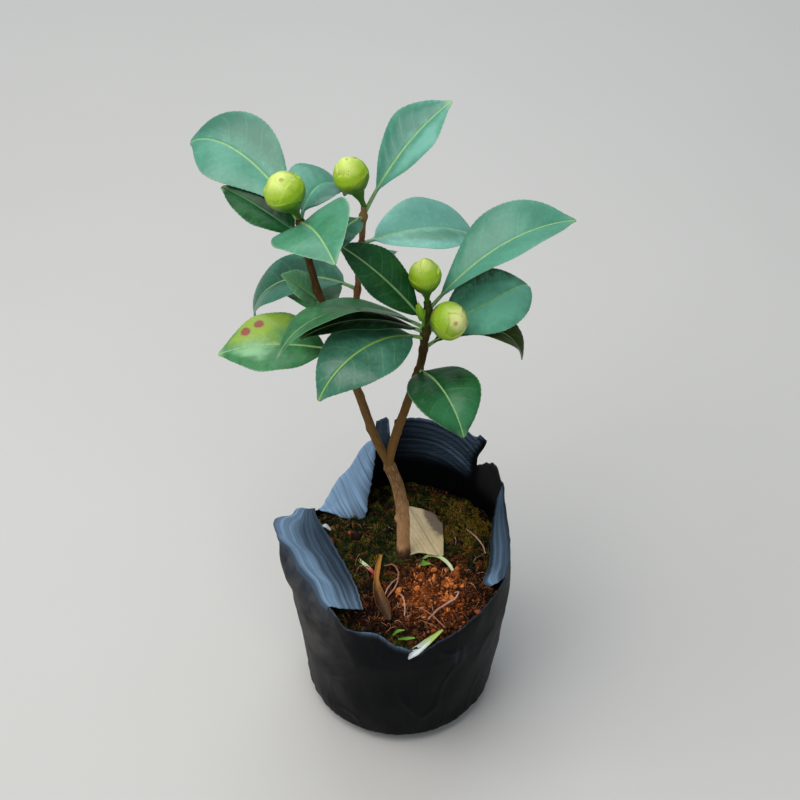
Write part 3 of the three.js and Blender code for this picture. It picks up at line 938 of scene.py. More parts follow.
@dataclass(frozen=True)
class Leaf:
    """One leaf: a stalk that opens into a folded, toothed blade.

    Attributes:
        name: the node that it stands for.
        limb: the limb that carries it.
        at: how far along the limb, from 0 to 1.
        heading: bearing at the stem, in degrees.
        rise: slope at the stem.
        length: of the blade.
        width: of the blade.
        finish: its colours.
        sweep: turn of the heading by the tip.
        droop: fall of the slope by the tip.
        hook: further fall at the very tip.
        roll: turn about the midrib.
        fold: rise of each half above the midrib.
        belly: over 1 the widest place lies nearer the tip.
        petiole: length of the stalk.
        cup: how far each half bulges upwards, in millimetres.
        wave: height of the ripples along the edge.
        ripples: how many there are.
    """

    name: str
    limb: str
    at: float
    heading: float
    rise: float
    length: float
    width: float
    finish: LeafFinish
    sweep: float = 0
    droop: float = 30
    hook: float = 0
    roll: float = 0
    fold: float = 12
    belly: float = 1
    petiole: float = 6
    cup: float = 0.8
    wave: float = 0.5
    ripples: float = 2.5

    def share(self, s: np.ndarray) -> np.ndarray:
        """Half width along the blade as a share of its widest.

        Args:
            s: share of the blade's length.

        Returns:
            The share of the widest place.
        """
        inside = np.clip(s, 0, 1)
        swell = np.sin(np.pi * inside ** (0.97 * self.belly)) ** 0.85
        return swell * (1 - 0.38 * inside**6) * (1 - 0.25 * ease(inside, 0.86, 1.0))

    def spine(self, start: np.ndarray, steps: int) -> tuple[np.ndarray, np.ndarray, np.ndarray]:
        """The midrib.

        Args:
            start: where the stalk leaves the limb.
            steps: stations along it.

        Returns:
            (points, side directions, up directions) at each station.
        """
        def angles(s: np.ndarray) -> tuple[np.ndarray, np.ndarray]:
            """Slope and bearing, in radians."""
            slope = self.rise - self.droop * s**1.5 - self.hook * s**5
            return np.radians(slope), np.radians(self.heading + self.sweep * s)

        total = self.petiole + self.length
        slope, heading = angles((np.arange(steps) + 0.5) / steps)
        move = polar(np.cos(slope), heading, np.sin(slope))
        points = start + np.vstack([np.zeros(3), np.cumsum(move * total / steps, axis=0)])
        slope, heading = angles(np.arange(steps + 1) / steps)
        side = vectors(np.sin(heading), -np.cos(heading), 0.0)
        up = polar(-np.sin(slope), heading, np.cos(slope))
        return points, *rolled(side, up, math.radians(self.roll))

    def build(self, limbs: dict[str, Limb], number: int) -> None:
        """Makes the leaf.

        Args:
            limbs: the limbs by name.
            number: its number, which seeds its small differences.
        """
        start = limbs[self.limb].at(self.at)
        total = self.petiole + self.length
        steps = 150
        points, side, up = self.spine(start, steps)
        s = (np.arange(steps + 1) / steps * total - self.petiole) / self.length
        half = [0, 0.025, 0.055, 0.1, 0.17, 0.26, 0.36, 0.46, 0.56, 0.66, 0.75, 0.83, 0.9, 0.95, 0.985, 1.0]
        across = np.array([-v for v in reversed(half[1:])] + half)
        v = np.concatenate([across, across[-2:0:-1]])
        face = np.concatenate([np.ones(len(across)), -np.ones(len(across) - 2)])
        face[[0, len(across) - 1]] = 0
        out = np.abs(v)
        turn = np.arccos(np.clip(-v, -1, 1))
        blade = ease(s * self.length, -1.0, 4.0)[:, None]
        stalk = 1.05 - 0.15 * ease(s * self.length, -self.petiole, 0)
        half_width = 0.9 + (self.width / 2 - 0.9) * self.share(s)
        tooth = (s * self.length / 2.3 + 0.3 * number) % 1.0
        teeth = 0.30 * (tooth - 0.5) * ease(s, 0.08, 0.25) * ease(s, 1.0, 0.93)
        half_width = np.where(s >= 1, 0.35, half_width + teeth)
        reach = half_width[:, None] * out[None]
        fold = math.radians(self.fold)
        lift = np.sqrt(reach**2 + 0.8) - math.sqrt(0.8)
        lift = lift * math.sin(fold) * ease(out, 0, 0.05)[None]
        swell = self.share(s)[:, None]
        lift = lift + self.cup * np.sin(np.pi * out)[None] * swell * (1 if self.fold > 0 else 0.6)
        phase = number * 1.7 + np.sign(v)[None] * 0.9
        ripple = np.sin(2 * math.pi * self.ripples * s[:, None] + phase) * out[None] ** 3
        lift = lift + self.wave * ripple * swell
        vein = (s[:, None] - VEIN_SLANT * out[None] ** VEIN_CURVE) * VEIN_PAIRS + 0.5 * (v > 0)[None]
        puff = 1 - np.abs(2 * (vein % 1.0) - 1) ** 3
        lift = lift + 0.16 * puff * np.sin(np.pi * np.clip(out, 0, 1) ** 0.8)[None] * swell
        rib = peak(reach, 0, 0.75)
        thick = 0.24 * np.sqrt(np.clip(1 - out**6, 0, 1))[None] * np.ones_like(reach)
        top = thick - 0.32 * rib
        bottom = -thick - (0.85 - 0.55 * np.clip(s, 0, 1))[:, None] * rib
        skin_off = np.where(face[None] > 0, top, np.where(face[None] < 0, bottom, 0))
        stalk_up = np.sin(turn)[None] * stalk[:, None] * np.where(face < 0, -1, 1)[None]
        height = stalk_up * (1 - blade) + (lift + skin_off) * blade
        spread = v[None] * (stalk[:, None] * (1 - blade) + half_width[:, None] * math.cos(fold) * blade)
        rings = points[:, None] + side[:, None] * spread[..., None] + up[:, None] * height[..., None]
        blade_marks = vectors(s[:, None], v, face)
        flat_marks = vectors(s[:, None] * self.length, v * half_width[:, None], 0.0)
        skin = Skin()
        skin.grid(rings, closed=True, capped=True, blade=blade_marks, flat=flat_marks)
        finish = self.finish.material(self.name, 7.3 * number)
        skin.piece(self.name + "_blade", [finish], "leaf", [self.name])


# Spotted leaf: a yellowed patch and brown spots of its own, a lighter patch that paints sheen on its lower
# half, and a dark patch at its base that paints the shadow of the leaf above.
SPOTTED = LeafFinish(
    LitTone.GREEN, tip=0.8,
    patches=((0.62, 0.62, 0.42, 0.85, (0.29, 0.44, 0.05)), (0.68, -0.22, 0.26, 0.50, (0.26, 0.52, 0.26)),
             (0.04, 0.0, 0.22, 1.3, (0.012, 0.075, 0.020))),
    spots=((40.0, 8.5, 2.6), (33.5, 12.0, 2.5)),
)
ARCHED = LeafFinish(
    LitTone.BLUISH, tip=0.0, veins=0.25,
    patches=((0.45, 0.2, 0.30, 0.9, (0.022, 0.105, 0.062)), (0.96, 0.0, 0.10, 1.6, (0.05, 0.27, 0.035))),
)
# Painted light: the lighter patch paints sheen on the lower half, the dark patch paints shade at the upper
# right.
LOW = LeafFinish(LitTone.DEEP_SHADE, rim=0.6, gloss=0.28, patches=(
    (0.80, -0.1, 0.42, 1.3, (0.035, 0.190, 0.072)), (0.28, -0.55, 0.30, 0.45, (0.005, 0.045, 0.010)),
))
# Each leaf's tone and patches paint the light on it: pale tones and light patches paint the sky's sheen, dark
# tones and dark patches paint shade.
LEAVES = (
    # Painted shade: the darker patch on this leaf's upper half.
    Leaf("leaf_left_upper", "left_stem", 0.965, 118, 24, 72, 40,
         LeafFinish(LitTone.PALE_SHEEN, tip=0.1, patches=((0.68, 0.62, 0.62, 0.62, (0.046, 0.180, 0.120)),)),
         sweep=38, droop=20, hook=48, roll=22, fold=7, belly=1.6, petiole=9, wave=0.3),
    Leaf("leaf_left_back", "left_stem", 0.985, 82, 29, 41, 33,
         LeafFinish(LitTone.PALE_SHEEN, rib=(0.15, 0.40, 0.22), rim=0.3,
                    patches=((0.5, 0.75, 0.7, 0.7, (0.036, 0.150, 0.110)),)),
         sweep=-50, droop=108, fold=14),
    Leaf("leaf_left_front", "left_stem", 0.985, 290, 34, 51, 40, LeafFinish(LitTone.MINT_SHEEN, rim=0.8),
         droop=42, roll=-20, fold=14, petiole=4, belly=0.8),
    # Painted shadow: the deep tone and near-black patch of this leaf, which lies under the upper left leaf.
    Leaf("leaf_left_under", "left_stem", 0.93, 150, 24, 42, 23,
         LeafFinish(LitTone.DEEP_SHADE, rib=(0.045, 0.150, 0.060), tip=1.0, veins=0.06,
                    patches=((0.40, 0.3, 0.40, 0.60, (0.004, 0.026, 0.008)),)),
         droop=20, roll=12, fold=14, petiole=5),
    Leaf("leaf_left_small", "left_stem", 0.69, 195, 54, 26, 17, LeafFinish(LitTone.FRESH, rim=0.6),
         droop=8, roll=25, fold=14, petiole=4),
    Leaf("leaf_left_spotted", "left_stem", 0.51, 181, 16, 55, 40, SPOTTED,
         droop=42, roll=5, fold=8, petiole=8, wave=0.8),
    Leaf("leaf_left_rear", "left_stem", 0.63, 108, -8, 54, 30, LeafFinish(LitTone.GREEN), droop=40),
    # Painted light: the light patch paints sheen on the right half, the dark patch shade on the left half.
    Leaf("leaf_middle_top", "middle_stem", 0.94, 44, 52, 54, 33,
         LeafFinish(LitTone.PALE_SHEEN, tip=0.7, patches=(
             (0.55, 0.60, 0.50, 0.50, (0.170, 0.440, 0.350)),
             (0.55, -0.50, 0.70, 0.62, (0.034, 0.185, 0.130)),
         )),
         sweep=-22, droop=22, belly=1.4, petiole=13),
    Leaf("leaf_middle_front", "middle_stem", 0.93, 238, 22, 30, 18, LeafFinish(LitTone.BLUISH, rim=0.6),
         droop=62, petiole=4),
    Leaf("leaf_middle_right", "middle_stem", 0.76, 26, 3, 62, 34,
         LeafFinish(LitTone.ICY_SHEEN, rib=(0.36, 0.66, 0.36),
                    patches=((0.50, 0.42, 0.60, 0.45, (0.085, 0.310, 0.190)),)),
         droop=50, roll=-14, fold=14),
    Leaf("leaf_middle_arched", "middle_stem", 0.46, 136, -8, 76, 32, ARCHED,
         sweep=44, droop=58, hook=40, roll=10, fold=8, petiole=9),
    Leaf("leaf_middle_rear", "middle_stem", 0.55, 80, -15, 52, 27, LeafFinish(LitTone.GREEN), droop=35),
    Leaf("leaf_right_long", "right_stem", 0.87, 186, 40, 79, 30, LeafFinish(LitTone.GREEN, tip=0.5, rim=0.7),
         sweep=34, droop=75, hook=30, roll=-25, fold=8, petiole=9),
    Leaf("leaf_right_steep", "right_stem", 0.89, 188, 60, 61, 24, LeafFinish(LitTone.DEEP_SHADE, veins=0.2),
         droop=18, roll=42, belly=1.15, petiole=8),
    # Painted shadow: a near-black tone for the leaf that lies in the shade between the leaves above and in
    # front.
    Leaf("leaf_right_shaded", "right_stem", 0.85, 198, 39, 62, 22, LeafFinish(LitTone.BLACK_SHADE, rim=0.2),
         sweep=8, droop=58, roll=-13, fold=2, petiole=7),
    Leaf("leaf_right_front", "right_stem", 0.82, 220, 40, 66, 36,
         LeafFinish(LitTone.BLUISH, rib=(0.32, 0.55, 0.10), veins=0.3, gloss=0.28),
         droop=104, roll=10, fold=-5, petiole=10),
    Leaf("leaf_right_broad", "right_stem", 0.96, 22, 48, 77, 40, LeafFinish(LitTone.JADE),
         sweep=-4, droop=58, fold=22, belly=1.4, petiole=9),
    # Painted light: the light patch paints sheen on the lower half, the dark strip shade along the upper
    # edge.
    Leaf("leaf_right_curled", "right_stem", 0.85, 12, 18, 59, 35,
         LeafFinish(LitTone.SATIN, rib=(0.26, 0.58, 0.24), gloss=0.45, patches=(
             (0.58, 0.35, 0.62, 0.95, (0.170, 0.520, 0.360)),
             (0.55, -1.15, 0.75, 0.92, (0.004, 0.030, 0.004)),
         )),
         sweep=44, droop=30, hook=38, roll=-20, fold=3, petiole=8),
    Leaf("leaf_right_low", "right_stem", 0.64, 296, 32, 49, 36, LOW,
         droop=90, fold=8, petiole=5),
    Leaf("leaf_right_rear", "right_stem", 0.76, 23, 31, 57, 24, LeafFinish(LitTone.DARK_OLIVE),
         sweep=-35, droop=116, fold=20, belly=1.3),
)


# Buds


SILK = (0.60, 0.76, 0.12)
SCALE_EDGE = (0.60, 0.70, 0.12)


@dataclass(frozen=True)
class BudFinish:
    """Silky green scales.

    Attributes:
        name: the material's name.
        top: colour near the tip, which also paints the highlight on the bud's upper part.
        side: colour of the sides.
        foot: colour at the foot, which also paints the shade on the bud's lower part.
        stain: colour of the withered edges.
        stained: how much of the edges is withered, from 0 to 1.
        scars: places of the brown scars, in millimetres.
    """

    name: str
    top: Colour = (0.76, 0.86, 0.24)
    side: Colour = (0.33, 0.53, 0.018)
    foot: Colour = (0.050, 0.165, 0.004)
    stain: Colour = (0.22, 0.07, 0.03)
    stained: float = 0.5
    scars: tuple[Point, ...] = ()

    def material(self) -> bpy.types.Material:
        """Makes the scales' material.

        Returns:
            The material.
        """
        shader = Shader(self.name, Specular_IOR_Level=0.3, Coat_Weight=0.12, Coat_Roughness=0.3)
        place = shader.mark("scale")
        _, along, rim = shader.parts(place)
        silk = shader.noise(shader.stretch(place, (9.0, 1.4, 0.0)), 1.0, 4.0, 0.3)
        cloud = shader.noise(shader.place(), 160.0, 3.0)
        blotch = shader.noise(shader.place(), 420.0, 3.0, 0.5)
        level = along + 0.35 * (cloud - 0.5)
        # Painted light: the bud darkens to the foot colour low down as painted shade and turns to the top
        # colour near the tip as a painted highlight.
        colour = shader.mix(shader.smooth(level, 0.16, 0.56), self.foot, self.side)
        colour = shader.mix(shader.smooth(level, 0.64, 1.06), colour, self.top)
        colour = shader.mix(shader.smooth(silk, 0.52, 0.75) * 0.15, colour, SILK)
        colour = shader.mix(shader.smooth(silk, 0.45, 0.28) * 0.22, colour, self.foot)
        colour = shader.mix(shader.smooth(rim, 0.86, 0.98) * 0.22, colour, SCALE_EDGE)
        worn = shader.smooth(rim, 0.86, 1.0) * shader.smooth(blotch, 0.50, 0.62) * self.stained
        colour = shader.mix(worn, colour, self.stain)
        speck = shader.smooth(shader.cells(shader.place(), 260.0), 0.16, 0.08)
        speck = speck * shader.smooth(cloud, 0.5, 0.6)
        colour = shader.mix(speck * 0.7 * self.stained, colour, self.stain)
        for x, y, z in self.scars:
            scar = shader.distance(shader.place(), (x * MM, y * MM, z * MM)) / (1.5 * MM)
            scar = scar + 1.6 * (blotch - 0.5) + 1.2 * (silk - 0.5)
            colour = shader.mix(shader.smooth(scar, 1.1, 0.3) * 0.7, colour, self.stain)
        shader.drive("Base Color", colour)
        shader.drive("Roughness", 0.42 + 0.2 * silk)
        shader.relief(silk, 0.12, 0.6)
        return shader.material


@dataclass(frozen=True)
class Bud:
    """A bud of overlapping scales on a short stalk.

    Attributes:
        name: the node that it stands for.
        limb: the limb that carries it.
        at: how far along the limb.
        centre: the middle of its widest place.
        width: across it.
        height: from its foot to its tip.
        finish: its colours.
        scales: how many scales show.
        turn: bearing of the first scale about its axis, in degrees.
        point: how drawn out its tip is, from 0 to 1.
    """

    name: str
    limb: str
    at: float
    centre: Point
    width: float
    height: float
    finish: BudFinish
    scales: int = 6
    turn: float = 0
    point: float = 0.3

    def radius(self, t: np.ndarray) -> np.ndarray:
        """Radius of the bud at a share of its height.

        Args:
            t: the share, from 0 to 1.

        Returns:
            The radius.
        """
        low = [0.0, 0.04, 0.10, 0.28, 0.46, 0.64, 0.82, 0.92, 0.97, 1.0]
        blunt = np.array([0.30, 0.48, 0.62, 0.90, 1.0, 0.94, 0.72, 0.50, 0.32, 0.0])
        drawn = np.array([0.30, 0.48, 0.62, 0.90, 1.0, 0.90, 0.58, 0.32, 0.17, 0.0])
        values = blunt * (1 - self.point) + drawn * self.point
        fine = np.linspace(0, 1, 101)
        curve = np.interp(fine, low, values)
        kernel = np.exp(-np.linspace(-2, 2, 13) ** 2)
        padded = np.pad(curve, 6, mode="reflect", reflect_type="odd")
        curve = np.convolve(padded, kernel / kernel.sum(), "valid")
        return np.interp(t, fine, np.clip(curve, 0, None)) * self.width / 2

    def build(self, limbs: dict[str, Limb]) -> None:
        """Makes the bud.

        Args:
            limbs: the limbs by name.
        """
        start = limbs[self.limb].at(self.at)
        axis = np.array(self.centre) - start
        reach = float(np.linalg.norm(axis))
        axis = axis / reach
        side = unit(np.cross([0.0, 1.0, 0.0], axis))
        front = np.cross(axis, side)
        base = reach - 0.46 * self.height

        def place(turn: np.ndarray, t: np.ndarray, off: np.ndarray) -> np.ndarray:
            """Points on the bud's surface, moved out by off.

            Args:
                turn: bearing about the axis, in radians.
                t: share of the height.
                off: distance out of the surface.

            Returns:
                The points.
            """
            r = self.radius(t) + off
            high = base + t * self.height
            flat = side * np.cos(turn)[..., None] + front * np.sin(turn)[..., None]
            return start + axis * high[..., None] + flat * r[..., None]

        skin = Skin()
        round_ = np.linspace(0, 2 * np.pi, 40, endpoint=False)
        t, turn = np.meshgrid(np.linspace(0.0, 0.995, 30), round_, indexing="ij")
        core = place(turn, t, np.full(t.shape, -0.25))
        skin.grid(core, closed=True, capped=True, scale=vectors(turn, t, 0.0))
        for k in range(self.scales):
            order = k / max(self.scales - 1, 1)
            middle = math.radians(self.turn + 144 * k)
            foot = 0.02 + 0.10 * order
            tip = 0.52 + 0.47 * order**0.8
            wide = math.radians(88 - 14 * order)
            u, v = np.meshgrid(np.linspace(0, 1, 30), np.linspace(-1, 1, 29), indexing="ij")
            narrow = np.clip(1 - u ** (3.0 - 1.2 * self.point), 0, 1) ** 0.62
            narrow = np.maximum(narrow * (0.75 + 0.25 * ease(u, 0, 0.3)), 0.02)
            edge = np.maximum(np.abs(v), u**2)
            lie = 0.45 + 0.20 * (1 - order) - 0.85 * ease(edge, 0.975, 1.0) + 0.10 * ease(edge, 0.7, 0.96)
            bulge = 0.12 * np.sin(3.0 * v + k) * u
            rows = place(middle + v * wide * narrow, foot + (tip - foot) * u, lie + bulge)
            tint = foot + (tip - foot) * u * 0.9 + 0.08 * order
            skin.grid(rows, scale=vectors(v * 1.3 + k, tint, edge))
        if base > 0.6:
            line = start + axis * np.linspace(-0.5, base + 0.08 * self.height, 8)[:, None]
            swell = 1.3 + (self.radius(np.array(0.05)) - 1.5) * ease(np.linspace(0, 1, 8), 0.25, 1.0)
            stalk = tube(line, swell, 16)
            marks = np.broadcast_to(np.array([0.0, 0.0, 0.2]), stalk.shape)
            skin.grid(stalk, closed=True, capped=True, scale=marks)
        skin.piece(self.name + "_scales", [self.finish.material()], "bud", [self.name])


BUDS = (
    Bud("bud_left", "left_stem", 1, (-51.7, 2, 358), 18.2, 18.6,
        BudFinish("left bud", scars=((-53, -0.5, 366.6), (-48, -4, 363))), turn=250, point=0.1),
    Bud("bud_middle", "middle_stem", 1, (-22.3, 15, 357.5), 15.6, 18.5,
        BudFinish("middle bud", stained=0.7,
                  scars=((-17.6, 11, 359.5), (-16.4, 11.5, 357), (-16, 12.5, 355))),
        turn=330, point=0.35),
    Bud("bud_right", "right_stem", 1, (11.7, 0, 310.5), 14.6, 18.5, BudFinish("right bud", stained=0.3),
        turn=215, point=1.0),
    Bud("bud_right_front", "right_stem", 0.9, (23, -10, 291), 17.6, 18.6,
        BudFinish("front bud", top=(0.86, 0.88, 0.34), stain=(0.46, 0.17, 0.06), stained=0.35,
                  scars=((26.1, -17, 295.3), (16.1, -9.4, 296.4), (15.6, -11.2, 293.5))),
        turn=140, point=0.25),
    Bud("leaf_bud", "right_stem", 0.86, (9.9, -4.4, 291.5), 3.3, 14.5,
        BudFinish("leaf bud", (0.46, 0.74, 0.05), (0.32, 0.60, 0.03), (0.16, 0.36, 0.02), stained=0.1),
        scales=3, point=1.0),
)


# Bag


@dataclass(frozen=True)
class FilmFinish:
    """Thin black plastic film with a painted bluish sheen, laid on in streaks where it would reflect the sky,
    and dust near the foot.

    Attributes:
        body: colour of the film.
        sheen_colour: colour of the painted sky reflection, laid on in streaks.
        dust: colour of the dust, which inside the right strip also paints sheen.
        mud: colour of the dried mud at its foot.
        scratch: colour of the fine scratches.
    """

    body: Colour = (0.0024, 0.0025, 0.0028)
    sheen_colour: Colour = (0.260, 0.400, 0.580)
    dust: Colour = (0.105, 0.098, 0.096)
    mud: Colour = (0.075, 0.045, 0.028)
    scratch: Colour = (0.16, 0.17, 0.18)

    def material(self) -> bpy.types.Material:
        """Makes the film's material.

        Returns:
            The material.
        """
        shader = Shader("black film", Specular_IOR_Level=0.035)
        film = shader.mark("film")
        _, _, sky_sheen = shader.parts(film)
        worn, _, _ = shader.parts(shader.mark("wear"))
        place = shader.place()
        _, _, level = shader.parts(place)
        streak = shader.noise(shader.stretch(film, (0.45, 0.012, 0.0)), 1.0, 3.0)
        fine = shader.noise(shader.stretch(film, (1.8, 0.030, 0.0)), 1.0, 3.0)
        cloud = shader.noise(place, 45.0, 4.0, 0.4)
        grit = shader.noise(place, 700.0, 3.0)
        streaks = 0.55 + 0.60 * shader.smooth(streak, 0.34, 0.66) + 0.40 * (fine - 0.5)
        # Painted reflection: the sky sheen mark lays the bluish sheen colour over the black film in streaks.
        share = sky_sheen * (streaks + 0.5 * (cloud - 0.5))
        colour = shader.mix(share, self.body, self.sheen_colour)
        mud = shader.smooth(level + 0.02 * (cloud - 0.5), 0.022, -0.006) * shader.smooth(grit, 0.35, 0.7)
        spread = shader.smooth(cloud, 0.52, 0.75) * shader.smooth(grit, 0.40, 0.75)
        colour = shader.mix(mud * 0.35, colour, self.mud)
        # Dust, which inside the right strip also paints sheen.
        dust_and_sheen_share = (spread * 0.014).larger(worn * (0.55 + 0.7 * cloud))
        colour = shader.mix(dust_and_sheen_share, colour, self.dust)
        scratch = shader.smooth(fine, 0.70, 0.80) * shader.smooth(cloud, 0.48, 0.58)
        colour = shader.mix(scratch * 0.12, colour, self.scratch)
        shader.drive("Base Color", colour)
        shader.drive("Roughness", 0.36 + 0.16 * cloud + 0.25 * dust_and_sheen_share + 0.10 * share)
        shader.relief(0.5 * streak + 0.25 * fine + 0.8 * cloud, 0.45, 0.5)
        return shader.material


@dataclass(frozen=True)
class Flap:
    """A torn strip of the film that hangs inwards over the rim.

    Attributes:
        edge: bearing on the rim and the point of the free edge that belongs to it, in order.
        crest: height of the rounded fold over the rim.
        sag: how far its middle hangs down.
        pleats: how many pleats it has across its width.
        depth: height of the pleats.
        sky_sheen: share across the strip and how bright the painted sky reflection is there.
        across: its pleats run from the rim to the free edge, not along the rim.
    """

    edge: tuple[tuple[float, float, float, float], ...]
    crest: float
    sag: float
    pleats: float
    depth: float
    sky_sheen: tuple[tuple[float, float], ...]
    across: bool = False


@dataclass(frozen=True)
class GrowBag:
    """The torn and crumpled film bag.

    Attributes:
        film: thickness shown.
        profile: height and radius of the plain wall.
        rim: bearing, height and radius of the torn rim. Two close bearings make a tear.
        flaps: the strips that are folded in.
        ridge: distance between the ridges of the back strip.
    """

    film: float = 0.4
    ridge: float = 4.3
    profile: tuple[tuple[float, float], ...] = (
        (0, 46), (3, 50.5), (9, 55), (40, 58), (80, 61), (105, 61.5), (200, 61.5)
    )
    rim: tuple[Point, ...] = (
        (0, 113, 61), (8, 121, 61), (16, 130, 61), (24, 139, 62), (29, 145.5, 62), (32, 145, 62.3),
        (38, 139.5, 62.5), (43, 134.5, 62.5), (45.5, 132, 62.5), (46, 157, 63), (51, 157, 63),
        (52.5, 153, 63), (58, 154.5, 63), (72, 152, 62), (91, 151, 62),
        (92.8, 150, 62), (93.6, 134, 62), (95.0, 133, 62), (95.8, 150, 62), (97, 151.5, 62),
        (102.5, 150, 62), (103.3, 140, 61.5), (106, 136, 61),
        (122, 116, 61), (140, 101, 60), (158, 113, 65), (176, 127, 69), (184, 128, 67), (194, 125, 59),
        (211, 118, 54), (226, 113, 57), (243, 108, 61), (257, 113, 62), (270, 102, 61), (281, 96, 61),
        (292, 102, 61), (312, 110, 61), (340, 111, 61), (360, 113, 61),
    )
    flaps: tuple[Flap, ...] = (
        Flap(
            ((150, -49, 33, 107), (158, -48, 27, 108), (166, -44.5, 19, 108), (174, -39.5, 9.7, 107.5),
             (182, -35.3, 1.3, 107), (191, -31.2, -7.3, 107), (201, -27.7, -15.1, 107),
             (211, -24.7, -22.5, 107), (220, -22, -31, 106.5), (228, -20, -39, 106)),
            1.0, -0.3, 5.0, 0.22,
            ((0, 0.30), (0.05, 0.75), (0.14, 0.90), (0.34, 0.80), (0.44, 0.26), (0.56, 0.34), (0.64, 0.16),
             (0.76, 0.28), (0.9, 0.15), (1, 0.30)),
        ),
        Flap(
            ((103, -13.5, 56, 138), (108, -14.3, 49.5, 130), (113, -16, 43.2, 120), (118, -18.4, 36.7, 110),
             (123, -20.7, 29.8, 102), (129, -27.6, 29.6, 101.5), (134, -33, 30.5, 101.5),
             (138, -38.5, 33.5, 101.5), (142, -45, 35.6, 101.5)),
            0.8, -1.0, 6.0, 0.16, ((0, 1.1), (0.2, 1.2), (0.55, 1.0), (0.8, 0.7), (1, 0.40)), True,
        ),
        Flap(
            ((23, 54.5, 22.4, 128), (17, 52.6, 19, 114), (10, 51, 10, 107), (1, 50.5, 0, 104.5),
             (352, 48.5, -10, 103.5), (345, 46, -18.5, 103.5), (340, 49, -22, 104.5)),
            0.8, -0.8, 3.0, 0.30, ((0, 0.15), (0.2, 0.34), (0.5, 0.46), (0.8, 0.26), (1, 0.15)),
        ),
    )

    def plain(self, height: Any) -> Any:
        """Radius of the plain wall."""
        high, wide = zip(*self.profile)
        return np.interp(height, high, wide)

    def rim_at(self, bearing: np.ndarray) -> tuple[np.ndarray, np.ndarray]:
        """Height and radius of the torn rim.

        Args:
            bearing: degrees.

        Returns:
            (height, radius) there.
        """
        table = np.array(self.rim)
        b = np.mod(bearing, 360)
        i = np.clip(np.searchsorted(table[:, 0], b, side="right") - 1, 0, len(table) - 2)
        t = np.clip((b - table[i, 0]) / (table[i + 1, 0] - table[i, 0]), 0, 1)
        t = t * t * (3 - 2 * t)
        return tuple(table[i, k] * (1 - t) + table[i + 1, k] * t for k in (1, 2))

    def torn(self, bearing: np.ndarray) -> np.ndarray:
        """Height of the rim with its ragged edge.

        Args:
            bearing: degrees.

        Returns:
            The height there.
        """
        high, _ = self.rim_at(bearing)
        ring = polar(61, np.radians(bearing), high * 0.3)
        b = np.mod(bearing, 360)
        folded = ease(b, 150, 162) * ease(b, 236, 226)
        return high + (1 - 0.8 * folded) * (0.8 * rough(ring, 7.0, 2.0) + 0.4 * rough(ring, 1.5, 5.0))

    def ridges(self, bearing: np.ndarray, height: np.ndarray) -> np.ndarray:
        """Ridges of the back strip, counted upwards from the floor."""
        return (height + 0.011 * np.clip(78 - bearing, 0, 60) ** 2) / self.ridge

    def radius(self, bearing: np.ndarray, height: np.ndarray) -> np.ndarray:
        """Radius of the outside of the wall with its dents, creases and pleats.

        Args:
            bearing: degrees.
            height: millimetres above the floor.

        Returns:
            The radius at each place.
        """
        high, wide = self.rim_at(bearing)
        up = np.clip((height - 80) / (high - 80), 0, 1.1)
        r = self.plain(height) + (wide - self.plain(high)) * up**3
        turn = np.mod(bearing - 192 + 180, 360) - 180
        r = r + 5.2 * peak(turn, 0, 15) * peak(height, 111, 13)
        wall = polar(r, np.radians(bearing), height)
        free = ease(height, 2, 22)
        r = r + 1.5 * free * rough(wall * np.array([1, 1, 0.55]), 34, 1.0, 2)
        line = np.abs(rough(wall * np.array([1, 1, 0.5]), 30, 4.0, 2))
        r = r + 0.45 * free * (np.clip(1 - line * 6, 0, 1) ** 1.5 - 0.2)
        line = np.abs(rough(wall * np.array([1, 1, 0.2]), 12, 9.0, 2))
        r = r + 0.18 * (np.clip(1 - line * 4, 0, 1) - 0.3) * (0.4 + 0.6 * ease(height, 60, 10))
        foot = rough(wall * np.array([1, 1, 0.15]), 6.0, 6.0, 3)
        r = r + 0.8 * foot * peak(height, 0, 13) * ease(height, -2, 2)
        lines = self.ridges(bearing, height) + 0.3 * rough(wall, 14, 7.0, 2)
        back = ease(bearing, 47, 52) * ease(bearing, 104, 92) * ease(height, 118, 126)
        back = back * ease(height, 155, 149)
        return r + 0.55 * back * np.sin(2 * math.pi * lines)

    def lean(self, bearing: np.ndarray, height: np.ndarray) -> np.ndarray:
        """Turn in degrees of the back strip's free end, which leans over the tear."""
        near = ease(bearing, 45.7, 46.0) * ease(bearing, 62, 50)
        return -7.0 * near * ease(height, 132, 158)

    def build(self) -> None:
        """Makes the bag: wall, ragged rim, inside and the strips folded in."""
        even = np.arange(0, 360, 1.0)
        extra = np.array([45.55, 45.8, 46.0, 46.3, 92.8, 93.2, 93.6, 95.0, 95.4, 95.8, 102.5, 102.9, 103.3])
        bearing = np.unique(np.concatenate([even, extra]))
        top = self.torn(bearing)
        low = np.array([0, 0.15, 0.6, 1.5, 3, 5, 7, 9])
        levels = [np.full(len(bearing), z, float) for z in low]
        levels += [np.full(len(bearing), z) for z in np.linspace(11, 80, 38)]
        levels += [80 + (top - 80) * u for u in np.linspace(0, 1, 50)[1:]]
        outer = len(levels)
        levels += [top + 0.12, top]
        levels += [88 + (top - 88) * u for u in np.linspace(1, 0, 46)[1:]]
        height = np.array(levels)
        turn = np.broadcast_to(bearing, height.shape)
        r = self.radius(turn, height)
        r[0] = self.radius(bearing, np.zeros(len(bearing))) - 2.5
        inward = np.zeros(height.shape)
        inward[outer] = self.film / 2
        inward[outer + 1 :] = self.film
        r = r - inward
        a = np.radians(turn + self.lean(turn, height))
        rows = polar(r, a, height)
        skin = Skin()
        skin.grid(rows, closed=True, capped=True, **self.wall_marks(turn, height, top, inward))
        for flap in self.flaps:
            self.fold_in(skin, flap)
        skin.piece("grow_bag_film", [FilmFinish().material()], "grow_bag", ["grow_bag"])

